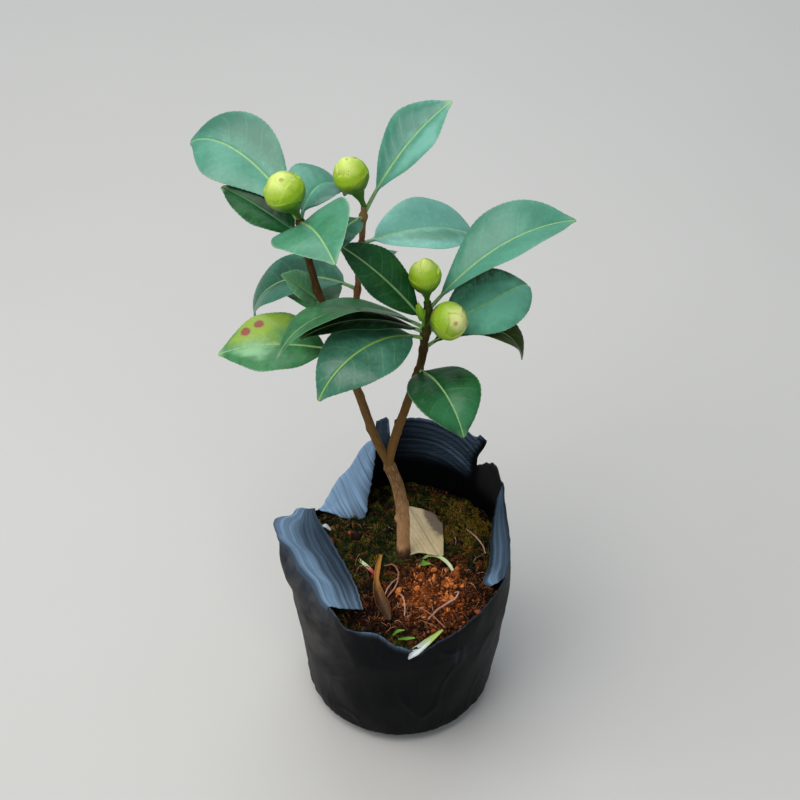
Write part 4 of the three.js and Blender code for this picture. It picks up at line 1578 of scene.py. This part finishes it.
    def wall_marks(
        self, bearing: np.ndarray, height: np.ndarray, top: np.ndarray, inward: np.ndarray
    ) -> dict[str, np.ndarray]:
        """Places, painted sheen and dust of the wall.

        Args:
            bearing: degrees at each point.
            height: millimetres at each point.
            top: height of the rim at each column.
            inward: 0 outside and more on the inside.

        Returns:
            Vectors for each point: across and along the streaks and the painted sheen, and the dust, which
                inside the right strip also paints sheen.
        """
        inside = inward > 0.3
        below = top[None] - height
        # Painted highlights: a bright line along the rim's edge and a glint along the front lip.
        lip = ease(bearing, 246, 254) * ease(bearing, 284, 276) * peak(below, 0, 2.6)
        sky_sheen = 0.005 + 0.14 * peak(below, 0, 0.9) + 0.30 * lip
        # Painted sheen on the outside of the wall just under the left fold.
        fold = ease(bearing, 165, 185) * ease(bearing, 238, 222) * peak(below, 0, 12)
        sky_sheen = sky_sheen + 0.12 * fold * ~inside
        # Painted highlight running up the front right of the wall.
        upright_glint = peak(bearing, 301, 1.2) + peak(bearing, 306, 0.9)
        sky_sheen = sky_sheen + 0.06 * upright_glint * np.exp(-(((height - 80) / 8) ** 4)) * ~inside
        # Painted highlights on the crests of the ridges inside the back strip.
        lines = self.ridges(bearing, height)
        back = ease(bearing, 47, 52) * ease(bearing, 100, 62) * ease(height, 116, 128)
        sky_sheen = sky_sheen + 0.42 * back * inside * (0.55 + 0.45 * np.sin(2 * math.pi * lines))
        # Painted sheen on the inside of the tongue and a painted glint along the edges of the slit.
        strip = ease(bearing, 95.4, 96.5) * ease(bearing, 103, 102) * ease(height, 120, 140)
        torn = peak(bearing, 95.9, 0.35) * ease(height, 136, 144)
        sky_sheen = sky_sheen + 0.26 * strip * inside + 0.8 * torn
        # Painted shade: the sheen is weaker low down on the inside.
        sky_sheen = sky_sheen * np.where(inside & (height < 116), 0.4, 1.0)
        across = bearing * math.pi / 180 * 61
        cloud = rough(polar(60, np.radians(bearing), height), 24, 4.0, 4)
        dust_and_sheen = ease(bearing, 158, 205) * ease(bearing, 252, 208) * ease(height, 12, 84) * ~inside
        dust_and_sheen = dust_and_sheen * np.clip(0.9 + 1.3 * cloud, 0.1, 1.3)
        # Painted sheen: the inside of the right strip is lightened through the dust mark.
        dust_and_sheen = dust_and_sheen + 0.34 * ease(bearing, 10, 18) * ease(bearing, 48, 40) * ease(height, 108, 124) * inside
        ridged = inside & (bearing > 45.9) & (bearing < 92.9) & (height > 112)
        along_ridges = vectors(self.ridge * lines, across, sky_sheen)
        film = np.where(ridged[..., None], along_ridges, vectors(across, height, sky_sheen))
        return {"film": film, "wear": vectors(0.75 * dust_and_sheen, 0.0, 0.0)}

    def fold_in(self, skin: Skin, flap: Flap) -> None:
        """Adds one strip of film folded in over the rim.

        Args:
            skin: the bag's sheets.
            flap: the strip.
        """
        table = np.array(flap.edge)
        bearings = np.unwrap(np.radians(table[:, 0]))
        free = smooth_line([tuple(p) for p in table[:, 1:]], 120)
        walked = np.concatenate([[0], np.cumsum(np.linalg.norm(np.diff(table[:, 1:], axis=0), axis=1))])
        share = np.linspace(0, 1, 120)
        turn = np.degrees(np.interp(share, walked / walked[-1], bearings))
        top = self.torn(turn)
        t = np.concatenate([[-0.10, -0.05, -0.02], np.linspace(0, 0.2, 8), np.linspace(0.24, 1, 36)])
        out = self.radius(turn, top - 0.2) + 0.25
        down = self.radius(turn, top - 3.0) + 0.12
        a = np.radians(turn)
        rim = polar(out, a, top)
        below = polar(down, a, top - 3.0)
        across = t[:, None, None]
        rows = rim[None] * (1 - across) + free[None] * across
        rows = np.where(across < 0, rim[None] + (below - rim)[None] * (-across / 0.10), rows)
        inside = np.clip(t, 0, 1)[:, None]
        lift = flap.crest * np.sin(np.pi * np.clip(inside / 0.35, 0, 1) ** 0.6)
        lift = lift + flap.sag * np.sin(np.pi * inside)
        reach = np.linalg.norm(free - rim, axis=1)[None]
        lift = lift * np.clip(reach / 12, 0.1, 1)
        length = share[None] * walked[-1]
        if flap.across:
            phase = share[None] * flap.pleats * 2 + 0.4 * inside
            marks = (length, reach * inside)
        else:
            phase = inside * flap.pleats + 0.08 * np.sin(share[None] * 4) * inside
            marks = (reach.mean() * inside, length)
        pleat = flap.depth * (1 - 2 * np.abs(np.sin(math.pi * phase))) * ease(inside, 0.08, 0.3)
        crumple = 0.2 * rough(rows, 14.0, 3.0, 2) * ease(inside, 0.05, 0.3) * np.clip(reach / 10, 0, 1)
        rows[..., 2] += lift + pleat + crumple
        ragged = 0.5 * rough(free, 2.5, 8.0, 3)
        rows[..., 0] += ragged[None] * inside**4
        # Painted sheen on the folded strips: brighter in set bands across each strip, rising and falling with
        # the pleats, and towards the far end of the strips that run along the rim.
        places, levels = zip(*flap.sky_sheen)
        sky_sheen = np.interp(t, places, levels)[:, None]
        sky_sheen = sky_sheen + 0.12 * np.sin(2 * math.pi * phase) * inside
        sky_sheen = sky_sheen * (1 + 0.9 * ease(share, 0.72, 0.95)[None] * ease(inside, 0.4, 0.6) * (not flap.across))
        film = vectors(*marks, sky_sheen)
        skin.plate(rows, -self.film * 0.8, film=film, wear=np.zeros_like(film))


# Soil


@dataclass(frozen=True)
class GroundFinish:
    """Damp peat, redder where it is open and green where moss grows.

    Attributes:
        peat: colour of the peat.
        coir: colour of the coir in it.
        rust: colour of the reddest places.
        moss: colour of the moss in its shade.
        olive: colour of the moss in the light.
    """

    peat: Colour = (0.012, 0.005, 0.003)
    coir: Colour = (0.110, 0.030, 0.010)
    rust: Colour = (0.30, 0.070, 0.018)
    moss: Colour = (0.010, 0.018, 0.003)
    olive: Colour = (0.075, 0.062, 0.008)

    def material(self) -> bpy.types.Material:
        """Makes the ground's material.

        Returns:
            The material.
        """
        shader = Shader("damp peat", Specular_IOR_Level=0.12)
        green, red, _ = shader.parts(shader.mark("ground"))
        place = shader.place()
        grain = shader.noise(place, 520.0, 5.0, 0.5)
        clod = shader.cells(place, 420.0)
        cloud = shader.noise(place, 110.0, 4.0)
        earth = shader.mix(shader.smooth(grain + 0.4 * (red - 0.5), 0.40, 0.68), self.peat, self.coir)
        earth = shader.mix(shader.smooth(cloud * red, 0.36, 0.55) * 0.7, earth, self.rust)
        turf = shader.mix(shader.smooth(grain, 0.42, 0.66), self.moss, self.olive)
        colour = shader.mix(shader.smooth(green + 0.5 * (cloud - 0.5), 0.35, 0.6), earth, turf)
        shader.drive("Base Color", colour)
        shader.drive("Roughness", 0.62 + 0.3 * grain)
        shader.relief(grain + 0.7 * clod, 1.2, 0.9)
        return shader.material


@dataclass(frozen=True)
class PlainFinish:
    """One colour of a small kind, with a little mottling.

    Attributes:
        name: the material's name.
        colour: its colour.
        rough: its roughness.
    """

    name: str
    colour: Colour
    rough: float = 0.7

    def material(self) -> bpy.types.Material:
        """Makes the material.

        Returns:
            The material.
        """
        shader = Shader(self.name, Specular_IOR_Level=0.12)
        grain = shader.noise(shader.place(), 900.0, 2.0)
        dark = tuple(0.55 * c for c in self.colour)
        light = tuple(1.35 * c for c in self.colour)
        shader.drive("Base Color", shader.mix(shader.smooth(grain, 0.3, 0.7), dark, light))
        shader.drive("Roughness", self.rough + 0.15 * grain)
        return shader.material


@dataclass(frozen=True)
class LitterFinish:
    """A withered scrap: two colours along it, a stain, streaks and a rib.

    Attributes:
        name: the material's name.
        start: colour at its start.
        end: colour at its end.
        stain: colour of one corner or edge.
        stained: share along and across of the stain's centre and its size.
        rib: how much the rib shows.
        gloss: roughness.
    """

    name: str
    start: Colour
    end: Colour
    stain: Colour
    stained: Point = (2.0, 2.0, 0.5)
    rib: float = 0.0
    gloss: float = 0.55

    def material(self) -> bpy.types.Material:
        """Makes the material.

        Returns:
            The material.
        """
        shader = Shader(self.name, Specular_IOR_Level=0.25)
        scrap = shader.mark("scrap")
        along, side, _ = shader.parts(scrap)
        cloud = shader.noise(shader.place(), 260.0, 4.0, 0.4)
        thread = shader.noise(shader.stretch(scrap, (1.5, 9.0, 0.0)), 1.0, 4.0)
        colour = shader.mix(shader.smooth(along + 0.4 * (cloud - 0.5), 0.2, 0.8), self.start, self.end)
        darker = shader.scale_colour(colour, 0.62)
        colour = shader.mix(shader.smooth(thread, 0.55, 0.35) * 0.5, colour, darker)
        a, b, size = self.stained
        far = shader.distance(shader.stretch(scrap, (1.0, 1.0, 0.0)), (a, b, 0.0)) / size
        colour = shader.mix(shader.smooth(far + 0.8 * (cloud - 0.5), 1.1, 0.7) * 0.85, colour, self.stain)
        phase = abs(2.0 * ((along - 0.35 * abs(side)) * 6.0).fraction() - 1.0)
        vein = shader.smooth(phase, 0.86, 0.98) * 0.5
        middle = shader.smooth(abs(side), 0.10, 0.03)
        colour = shader.mix(middle.larger(vein) * self.rib, colour, shader.scale_colour(colour, 0.55))
        shader.drive("Base Color", colour)
        shader.drive("Roughness", self.gloss + 0.2 * cloud)
        shader.relief(thread + vein * self.rib, 0.25, 0.6)
        return shader.material


@dataclass(frozen=True)
class Scrap:
    """A leaf scrap, blade or root that lies on the soil.

    Attributes:
        name: the piece's name.
        path: points of its middle line.
        width: width at even places along it.
        curl: how far its edges turn up, in degrees.
        finish: its colours.
        thick: its thickness.
        tilt: turn about its length, in degrees.
    """

    name: str
    path: tuple[Point, ...]
    width: tuple[float, ...]
    curl: float
    finish: LitterFinish
    thick: float = 0.3
    tilt: float = 0

    def build(self) -> None:
        """Makes the scrap."""
        count = 60
        line = smooth_line(self.path, count)
        along = unit(np.gradient(line, axis=0))
        side = unit(np.cross(along, [0.0, 0.0, 1.0]))
        up = np.cross(side, along)
        share = np.linspace(0, 1, count)
        half = np.interp(share, np.linspace(0, 1, len(self.width)), self.width) / 2
        half = half + 0.08 * half * rough(line, 1.6, 3.0, 3)
        v = np.linspace(-1, 1, 21)
        across, lift = rolled(side, up, math.radians(self.tilt))
        bend = math.radians(self.curl)
        if self.curl:
            wide = np.sin(v * bend) / bend
            high = (1 - np.cos(v * bend)) / bend
        else:
            wide, high = v, 0 * v
        rows = line[:, None] + across[:, None] * (half[:, None] * wide)[..., None]
        rows = rows + lift[:, None] * (half[:, None] * high)[..., None]
        rows[..., 2] += 0.35 * rough(rows, 4.0, len(self.name), 3) * np.clip(half / 3, 0, 1)[:, None]
        skin = Skin()
        skin.plate(rows, self.thick, scrap=vectors(share[:, None], v, 0.0))
        skin.piece(self.name, [self.finish.material()], "soil")


@dataclass(frozen=True)
class Root:
    """A bare root that loops out of the soil.

    Attributes:
        name: the piece's name.
        path: points of its middle line.
        thick: its thickness at even places along it.
        finish: its colours.
    """

    name: str
    path: tuple[Point, ...]
    thick: tuple[float, ...]
    finish: LitterFinish

    def build(self) -> None:
        """Makes the root."""
        count, sides = 70, 12
        line = smooth_line(self.path, count)
        line = line + 0.25 * vectors(*(rough(line, 3.0, k, 2) for k in (1.0, 5.0, 9.0)))
        share = np.linspace(0, 1, count)
        radius = np.interp(share, np.linspace(0, 1, len(self.thick)), self.thick) / 2
        radius = radius * (1 + 0.25 * rough(line, 1.5, 3.0, 2))
        rings = tube(line, radius, sides)
        turn = np.cos(np.arange(sides) * 2 * math.pi / sides)
        skin = Skin()
        skin.grid(rings, closed=True, capped=True, scrap=vectors(share[:, None], turn, 0.0))
        skin.piece(self.name, [self.finish.material()], "soil")


@dataclass(frozen=True)
class SoilBed:
    """Mossy peat with coir, crumbs, roots and scraps on it.

    Attributes:
        level: height at the trunk.
        dip: fall to the wall, and the further fall towards a bearing.
        low_side: that bearing.
        seed: of everything that is strewn.
        mounds: place, size and rise of each mound and hollow.
    """

    level: float = 105
    dip: tuple[float, float] = (6.2, 2)
    low_side: float = 125
    seed: int = 5
    mounds: tuple[tuple[float, float, float, float], ...] = (
        (38, 28, 12, 4.5), (24, 42, 11, 2.5), (14, -26, 15, 2.5), (-28, 12, 13, 1.8), (14, 50, 8, 1.5),
        (-12, 20, 10, 1.2), (-2, -14, 7, -2.0), (36, -16, 9, 1.5), (-22, -36, 11, -3.5), (44, 2, 8, -2.5),
    )

    def height(self, x: np.ndarray, y: np.ndarray) -> np.ndarray:
        """Height of the surface.

        Args:
            x: millimetres to the side.
            y: millimetres to the back.

        Returns:
            The height there.
        """
        r = np.hypot(x, y)
        bearing = np.arctan2(y, x)
        fall = self.dip[0] + self.dip[1] * np.maximum(0, np.cos(bearing - math.radians(self.low_side)))
        z = self.level - fall * (r / 59) ** 2
        for cx, cy, size, rise in self.mounds:
            z = z + rise * np.exp(-(((x - cx) ** 2 + (y - cy) ** 2) / size**2))
        flat = vectors(x, y, 0.0)
        near = ease(r, 5, 12)
        z = z + 1.6 * peak(np.hypot(x - 2, y), 4.5, 2.4)
        return z + near * (1.3 * rough(flat, 13, 2.0, 2) + 1.6 * self.lumps(x, y))

    def lumps(self, x: np.ndarray, y: np.ndarray) -> np.ndarray:
        """Lumps and hollows a few millimetres wide, from about -1 to 1."""
        return rough(vectors(x, y, 0.0), 6.0, 6.0, 3)

    def green(self, x: np.ndarray, y: np.ndarray) -> np.ndarray:
        """Share of moss, from 0 to 1.

        Args:
            x: millimetres to the side.
            y: millimetres to the back.

        Returns:
            The share there.
        """
        open_soil = hill(x, y, (24, -30), (30, 27))
        litter = 1.2 * hill(x, y, (-14, -36), (17, 15))
        bare = 0.8 * hill(x, y, (24, 51), (9, 6))
        rim = 0.5 * ease(np.hypot(x, y), 52, 60) * (x > 20)
        share = 1.0 - 1.5 * open_soil - litter - bare - rim + 0.75 * rough(vectors(x, y, 0.0), 7, 12.0, 3)
        return np.clip(share, 0, 1)

    def edge(self, bag: GrowBag, bearing: np.ndarray) -> np.ndarray:
        """Radius at which the surface meets the film."""
        return bag.radius(bearing, np.full(bearing.shape, 99.0)) - bag.film - 0.1

    def build(self, bag: GrowBag) -> None:
        """Makes the ground and everything on it.

        Args:
            bag: the bag that holds it.
        """
        self.ground(bag)
        dice = np.random.RandomState(self.seed)
        self.moss(dice)
        self.crumbs(dice)
        self.fibres(dice)
        for scrap in (*SCRAPS, *ROOTS):
            scrap.build()
        self.dried_leaf()

    def ground(self, bag: GrowBag) -> None:
        """Makes the body of the soil.

        Args:
            bag: the bag that holds it.
        """
        bearing = np.arange(0, 360, 1.2)
        a = np.radians(bearing)
        share = np.linspace(0.004, 1, 90) ** 0.85
        r = share[:, None] * self.edge(bag, bearing)[None]
        x, y = r * np.cos(a), r * np.sin(a)
        z = self.height(x, y)
        z = z + 0.35 * rough(vectors(x, y, z), 1.6, 9.0, 3) * ease(r, 4, 8)
        rows = [vectors(x, y, z)]
        for level in (92, 80, 60, 40, 20, 9, 4, 2):
            rows.append(polar(bag.plain(level) - 2.2, a, level)[None])
        points = np.concatenate(rows)
        px, py = points[..., 0], points[..., 1]
        marks = vectors(self.green(px, py), hill(px, py, (16, -30), (30, 26)), 0.0)
        skin = Skin()
        skin.grid(points, closed=True, capped=True, ground=marks)
        skin.piece("soil_ground", [GroundFinish().material()], "soil", ["soil"])

    def strewn(self, dice: np.random.RandomState, count: int, reach: float = 58.5) -> np.ndarray:
        """Random places on the surface, evenly spread.

        Args:
            dice: the random numbers.
            count: how many.
            reach: largest radius.

        Returns:
            (count, 2) places.
        """
        r = reach * np.sqrt(dice.uniform(0.012, 1, count))
        a = dice.uniform(0, 2 * np.pi, count)
        return np.stack([r * np.cos(a), r * np.sin(a)], axis=1)

    def turned(self, dice: np.random.RandomState, count: int) -> np.ndarray:
        """Random turns in space.

        Args:
            dice: the random numbers.
            count: how many.

        Returns:
            (count, 3, 3) matrices.
        """
        q = unit(dice.normal(size=(count, 4)))
        w, x, y, z = q.T
        return np.stack(
            [1 - 2 * (y * y + z * z), 2 * (x * y - z * w), 2 * (x * z + y * w),
             2 * (x * y + z * w), 1 - 2 * (x * x + z * z), 2 * (y * z - x * w),
             2 * (x * z - y * w), 2 * (y * z + x * w), 1 - 2 * (x * x + y * y)], axis=1
        ).reshape(count, 3, 3)

    def deal(self, skin: Skin, shapes: np.ndarray, faces: list[tuple[int, ...]], finish: np.ndarray) -> None:
        """Adds many small bodies of one kind.

        Args:
            skin: gathers them.
            shapes: (count, corners, 3).
            faces: the faces of one body.
            finish: the finish number of each body.
        """
        size = shapes.shape[1]
        every = [tuple(c + size * k for c in face) for k in range(len(shapes)) for face in faces]
        skin.add(shapes, every, np.repeat(finish, len(faces)))

    def moss(self, dice: np.random.RandomState) -> None:
        """Strews moss: short pointed shoots in four greens.

        Args:
            dice: the random numbers.
        """
        at = self.strewn(dice, 30000)
        green = self.green(at[:, 0], at[:, 1])
        at = at[dice.uniform(size=len(at)) < green**1.5 * 0.95]
        count = len(at)
        x, y = at.T
        flat = vectors(x, y, 0.0)
        tall = dice.uniform(0.7, 1.6, count) * (1 + 0.5 * rough(flat, 5, 3.0, 2))
        wide = dice.uniform(0.22, 0.42, count)
        lean = dice.normal(0, 0.5, (count, 2)) * tall[:, None]
        turn = dice.uniform(0, 2 * np.pi, count)
        base = vectors(x, y, self.height(x, y) - 0.25)
        corners = [base + polar(wide, turn + k * 2 * np.pi / 3, 0.0) for k in range(3)]
        corners.append(base + vectors(*lean.T, tall + 0.25))
        shapes = np.stack(corners, axis=1)
        hue = 0.45 + 0.6 * rough(flat, 9, 21.0, 3) + 1.25 * hill(x, y, (38, 26), (16, 20))
        hue = hue - 0.35 * hill(x, y, (-28, 18), (18, 25)) + dice.normal(0, 0.16, count)
        # Painted light: moss is yellower on the lumps and darker in the hollows between them.
        hue = hue + 0.9 * self.lumps(x, y)
        finish = np.digitize(hue, [0.35, 0.68, 1.0])
        skin = Skin()
        self.deal(skin, shapes, [(0, 2, 1), (0, 1, 3), (1, 2, 3), (2, 0, 3)], finish)
        greens = (
            PlainFinish("dark moss", (0.008, 0.015, 0.003)),
            PlainFinish("green moss", (0.028, 0.056, 0.006)),
            PlainFinish("olive moss", (0.125, 0.100, 0.012)),
            PlainFinish("yellow moss", (0.30, 0.190, 0.022)),
        )
        skin.piece("soil_moss", [g.material() for g in greens], "soil")

    def crumbs(self, dice: np.random.RandomState) -> None:
        """Strews crumbs of peat and bark, redder in the open soil.

        Args:
            dice: the random numbers.
        """
        at = self.strewn(dice, 9500)
        green = self.green(at[:, 0], at[:, 1])
        cushion = hill(at[:, 0], at[:, 1], (38, 28), (13, 15))
        at = at[dice.uniform(size=len(at)) < (0.10 + 0.8 * (1 - green)) * (1 - 0.8 * cushion)]
        count = len(at)
        x, y = at.T
        work = bmesh.new()
        bmesh.ops.create_icosphere(work, subdivisions=1, radius=1.0)
        ball = np.array([tuple(v.co) for v in work.verts])
        faces = [tuple(v.index for v in f.verts) for f in work.faces]
        work.free()
        size = (0.45 + 1.4 * dice.beta(1.2, 3.5, count)) * np.where(dice.uniform(size=count) < 0.05, 2.1, 1.0)
        shape = ball[None] * dice.uniform(0.45, 1.3, (count, len(ball), 1))
        shape = shape * dice.uniform(0.35, 1.45, (count, 1, 3)) * size[:, None, None]
        shape = np.einsum("nij,nkj->nki", self.turned(dice, count), shape)
        place = vectors(x, y, self.height(x, y) + 0.35 * size)
        red = hill(x, y, (20, -26), (26, 24)) + 0.25 * hill(x, y, (26, 50), (10, 8))
        # Painted shade: crumbs are darker in the hollow at the front left and in the hollows between lumps,
        # and brighter on the lumps.
        hollow_shade = hill(x, y, (-24, -42), (15, 13))
        hue = red * 0.85 - 0.6 * hollow_shade + dice.normal(0.12, 0.22, count) + 0.35 * self.lumps(x, y) + 0.10 * size
        finish = np.digitize(hue, [0.40, 0.76, 1.12])
        skin = Skin()
        self.deal(skin, place[:, None] + shape, faces, finish)
        browns = (
            PlainFinish("dark crumb", (0.014, 0.006, 0.003)),
            PlainFinish("brown crumb", (0.100, 0.031, 0.009)),
            PlainFinish("rust crumb", (0.31, 0.080, 0.018)),
            PlainFinish("orange crumb", (0.72, 0.22, 0.055)),
        )
        skin.piece("soil_crumbs", [b.material() for b in browns], "soil")

    def fibres(self, dice: np.random.RandomState) -> None:
        """Strews coir fibres and fine roots.

        Args:
            dice: the random numbers.
        """
        at = self.strewn(dice, 2600, 56)
        green = self.green(at[:, 0], at[:, 1])
        at = at[dice.uniform(size=len(at)) < 0.06 + 0.75 * (1 - green)]
        count = len(at)
        steps, sides = 8, 4
        head = dice.uniform(0, 2 * np.pi, count)
        bend = dice.normal(0, 1.3, count)
        long = dice.uniform(3, 11, count)
        s = np.linspace(0, 1, steps)
        course = head[:, None] + bend[:, None] * s[None]
        step = long[:, None] / steps
        x = at[:, :1] + np.cumsum(np.cos(course) * step, axis=1)
        y = at[:, 1:] + np.cumsum(np.sin(course) * step, axis=1)
        rise = dice.uniform(0.2, 2.2, count)[:, None] * np.sin(np.pi * s)[None]
        z = self.height(x, y) + 0.1 + rise
        line = vectors(x, y, z)
        keep = (np.hypot(x, y).max(axis=1) < 58) & (np.hypot(x, y).min(axis=1) > 6)
        line = line[keep]
        thick = dice.uniform(0.08, 0.22, len(line))
        shapes = []
        for one, radius in zip(line, thick):
            shapes.append(tube(one, radius * np.array([0.5, 1, 1, 1, 1, 1, 0.8, 0.35]), sides).reshape(-1, 3))
        faces = sheet_faces(steps, sides, closed=True)
        faces += [(3, 2, 1, 0), tuple(range((steps - 1) * sides, steps * sides))]
        finish = dice.choice(4, len(line), p=[0.42, 0.36, 0.16, 0.06])
        skin = Skin()
        self.deal(skin, np.array(shapes), faces, finish)
        browns = (
            PlainFinish("dark fibre", (0.030, 0.011, 0.005)),
            PlainFinish("red fibre", (0.24, 0.060, 0.020)),
            PlainFinish("tan fibre", (0.40, 0.16, 0.07)),
            PlainFinish("pale root", (0.58, 0.34, 0.22)),
        )
        skin.piece("soil_fibres", [b.material() for b in browns], "soil")

    def dried_leaf(self) -> None:
        """Lays the dried leaf against the trunk."""
        corners = np.array([(5.5, -2.2, 107.6), (24.2, -3.0, 108.6), (24.0, 27.5, 106.5), (4.0, 38.0, 104.0)])
        u, v = np.meshgrid(np.linspace(0, 1, 60), np.linspace(0, 1, 50), indexing="ij")
        low = corners[0] * (1 - v[..., None]) + corners[1] * v[..., None]
        high = corners[3] * (1 - v[..., None]) + corners[2] * v[..., None]
        rows = low * (1 - u[..., None]) + high * u[..., None]
        rows[..., 0] += 0.9 * np.sin(np.pi * u) * (v - 0.6) - 1.5 * ease(u, 0.86, 1.0) * ease(v, 0.8, 1.0)
        rows[..., 1] -= 3.2 * ease(v, 0.78, 1.0) * ease(u, 0.8, 1.0) - 0.9 * np.sin(2 * np.pi * v) * (1 - u)
        rows[..., 2] += 1.6 * np.sin(np.pi * v) * (1 - 0.5 * u) + 0.5 * rough(rows, 6, 4.0, 3)
        slant = math.radians(38)
        along = 0.5 + (u - 0.5) * math.cos(slant) - (v - 0.5) * math.sin(slant)
        side = 2 * ((u - 0.5) * math.sin(slant) + (v - 0.5) * math.cos(slant)) + 0.1
        skin = Skin()
        skin.plate(rows, 0.35, scrap=vectors(along, side, 0.0))
        skin.piece("soil_dried_leaf", [DRIED_LEAF.material()], "soil")


DRIED_LEAF = LitterFinish(
    "dried leaf", (0.76, 0.59, 0.33), (0.66, 0.52, 0.31), (0.13, 0.090, 0.070), (0.62, 1.0, 0.55), 0.55,
)
PALE_BLADE = LitterFinish("pale blade", (0.55, 0.75, 0.25), (0.80, 0.86, 0.55), (0.30, 0.50, 0.10),
                          (0.0, 0.0, 0.3))
# The amber leaf's dark end colour paints the shade that its lower end lies in.
AMBER_LEAF = LitterFinish("amber leaf", (0.50, 0.22, 0.040), (0.095, 0.040, 0.010), (0.045, 0.018, 0.008),
                          (1.0, 0.3, 0.6), 0.5, 0.4)
RED_SLIVER = LitterFinish("red sliver", (0.70, 0.78, 0.45), (0.42, 0.04, 0.05), (0.62, 0.16, 0.14),
                          (0.55, 0.0, 0.25))
ROOT = LitterFinish("root", (0.36, 0.15, 0.09), (0.52, 0.26, 0.17), (0.20, 0.07, 0.04), (0.5, 0.0, 0.3))
PINK_ROOT = LitterFinish("pink root", (0.58, 0.30, 0.22), (0.66, 0.40, 0.30), (0.3, 0.1, 0.06),
                         (0.2, 0.0, 0.2))
WHITE_CHIP = LitterFinish("white chip", (0.70, 0.72, 0.74), (0.45, 0.46, 0.47), (0.85, 0.86, 0.88),
                          (0.3, 0.0, 0.3))
RED_CHIP = LitterFinish("red chip", (0.16, 0.02, 0.015), (0.24, 0.05, 0.03), (0.35, 0.09, 0.06),
                        (0.5, 0.0, 0.3))
# The blade's white start, where it hangs over the front rim, paints a glint on the film; its green end is its
# own colour.
WHITE_GLINT_BLADE = LitterFinish("glinting blade", (0.62, 0.66, 0.68), (0.45, 0.62, 0.14), (0.80, 0.82, 0.84),
                           (0.3, 0.3, 0.35), 0.3, 0.3)
FRESH_BIT = LitterFinish("fresh bit", (0.08, 0.25, 0.02), (0.15, 0.38, 0.035), (0.35, 0.55, 0.12),
                         (0.9, 0.0, 0.3), 0.4)

SCRAPS = (
    Scrap("soil_pale_blade", ((12, -3, 104.8), (16, -2, 107), (21, -3.5, 108.4), (27, -9, 108.2),
                              (31, -16, 105.5)),
          (0.8, 2.4, 2.2, 1.8, 0.7), 40, PALE_BLADE),
    Scrap("soil_amber_leaf", ((-10.5, -2, 108), (-12.5, -12, 107.5), (-13, -22, 107), (-11, -33, 106),
                              (-6, -45, 104.5)),
          (1.2, 3.2, 3.0, 7.5, 10.0, 3.0), 70, AMBER_LEAF, tilt=12),
    Scrap("soil_red_sliver", ((-23, -3, 105), (-17.5, -10, 106), (-12.5, -16, 105.8)), (1.2, 1.9, 2.2, 1.2),
          50, RED_SLIVER),
    Scrap("soil_white_chip", ((-46, 22, 104), (-42.5, 21, 105.6), (-39.5, 19, 104.4)), (0.8, 2.6, 1.0), 45,
          WHITE_CHIP),
    Scrap("soil_red_chip", ((-41, 15, 104), (-39, 11, 105.2), (-37.5, 7, 104)), (0.8, 2.2, 0.8), 60,
          RED_CHIP),
    Scrap("soil_fresh_shred", ((-1, -56, 102.5), (3.5, -56.5, 103.6), (8, -55.5, 103)), (0.6, 2.0, 0.8), 35,
          FRESH_BIT),
    Scrap("soil_white_blade", ((4.5, -62.5, 93.5), (7, -61.8, 97), (12, -58.5, 99.5), (18, -54.5, 102),
                               (23, -51, 104)),
          (1.0, 5.0, 4.0, 2.6, 1.0), 35, WHITE_GLINT_BLADE, tilt=-15),
    Scrap("soil_fresh_bit", ((-4, -54, 103), (-1, -52.5, 105), (2.5, -51.5, 104.5)), (0.5, 1.9, 0.5), 25,
          FRESH_BIT),
    Scrap("soil_fresh_leaf", ((9, -6, 105), (13, -7.5, 107), (17, -7, 106)), (0.8, 4.0, 0.8), 25, FRESH_BIT),
)

ROOTS = (
    Root("soil_root_loop", ((-9, -7, 104), (-4, -9, 107.5), (-1, -15, 108.5), (-2, -23, 107.5),
                            (-7, -29, 104)),
         (0.7, 1.0, 0.9, 0.9, 0.7), ROOT),
    Root("soil_root_branch", ((-1.5, -19, 108), (-4.5, -22, 108), (-8, -28, 106.5), (-9, -33, 104)),
         (0.6, 0.7, 0.6), PINK_ROOT),
    Root("soil_root_front", ((-2, -26, 105), (1, -31, 108), (2.5, -36, 107.5), (2.5, -42, 104.5)),
         (0.7, 0.9, 0.8, 0.6), PINK_ROOT),
    Root("soil_pink_root", ((15, -44, 104), (20, -40.5, 107.5), (25, -36.5, 107.8), (30, -33, 108),
                            (32, -28, 107.5),
                            (30, -26, 104.5)),
         (0.8, 1.0, 1.1, 0.9, 0.8), PINK_ROOT),
    Root("soil_side_root", ((38, 17, 107), (42, 11, 109), (46, 6, 107.5), (48, 2, 104)), (0.7, 0.8, 0.7),
         PINK_ROOT),
    Root("soil_low_root", ((8, -36, 104.5), (13, -40, 107.2), (20, -46, 106.5), (24, -49, 103.5)),
         (0.5, 0.6, 0.5), ROOT),
)


# Main


def main() -> None:
    """Builds the camera and light, then the shrub piece by piece."""
    logging.basicConfig(level=logging.INFO, format="%(name)s: %(message)s")
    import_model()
    Studio().build()
    limbs = {limb.name: limb for limb in LIMBS}
    for limb in LIMBS:
        carried = [leaf.at for leaf in LEAVES if leaf.limb == limb.name]
        limb.build(carried)
    for number, leaf in enumerate(LEAVES):
        leaf.build(limbs, number)
    for bud in BUDS:
        bud.build(limbs)
    bag = GrowBag()
    bag.build()
    SoilBed().build(bag)


def plain(box: Any) -> list[list[float]]:
    """A box's two corners as lists of numbers."""
    return [[float(x) for x in corner] for corner in box]


if __name__ == "__main__":
    main()
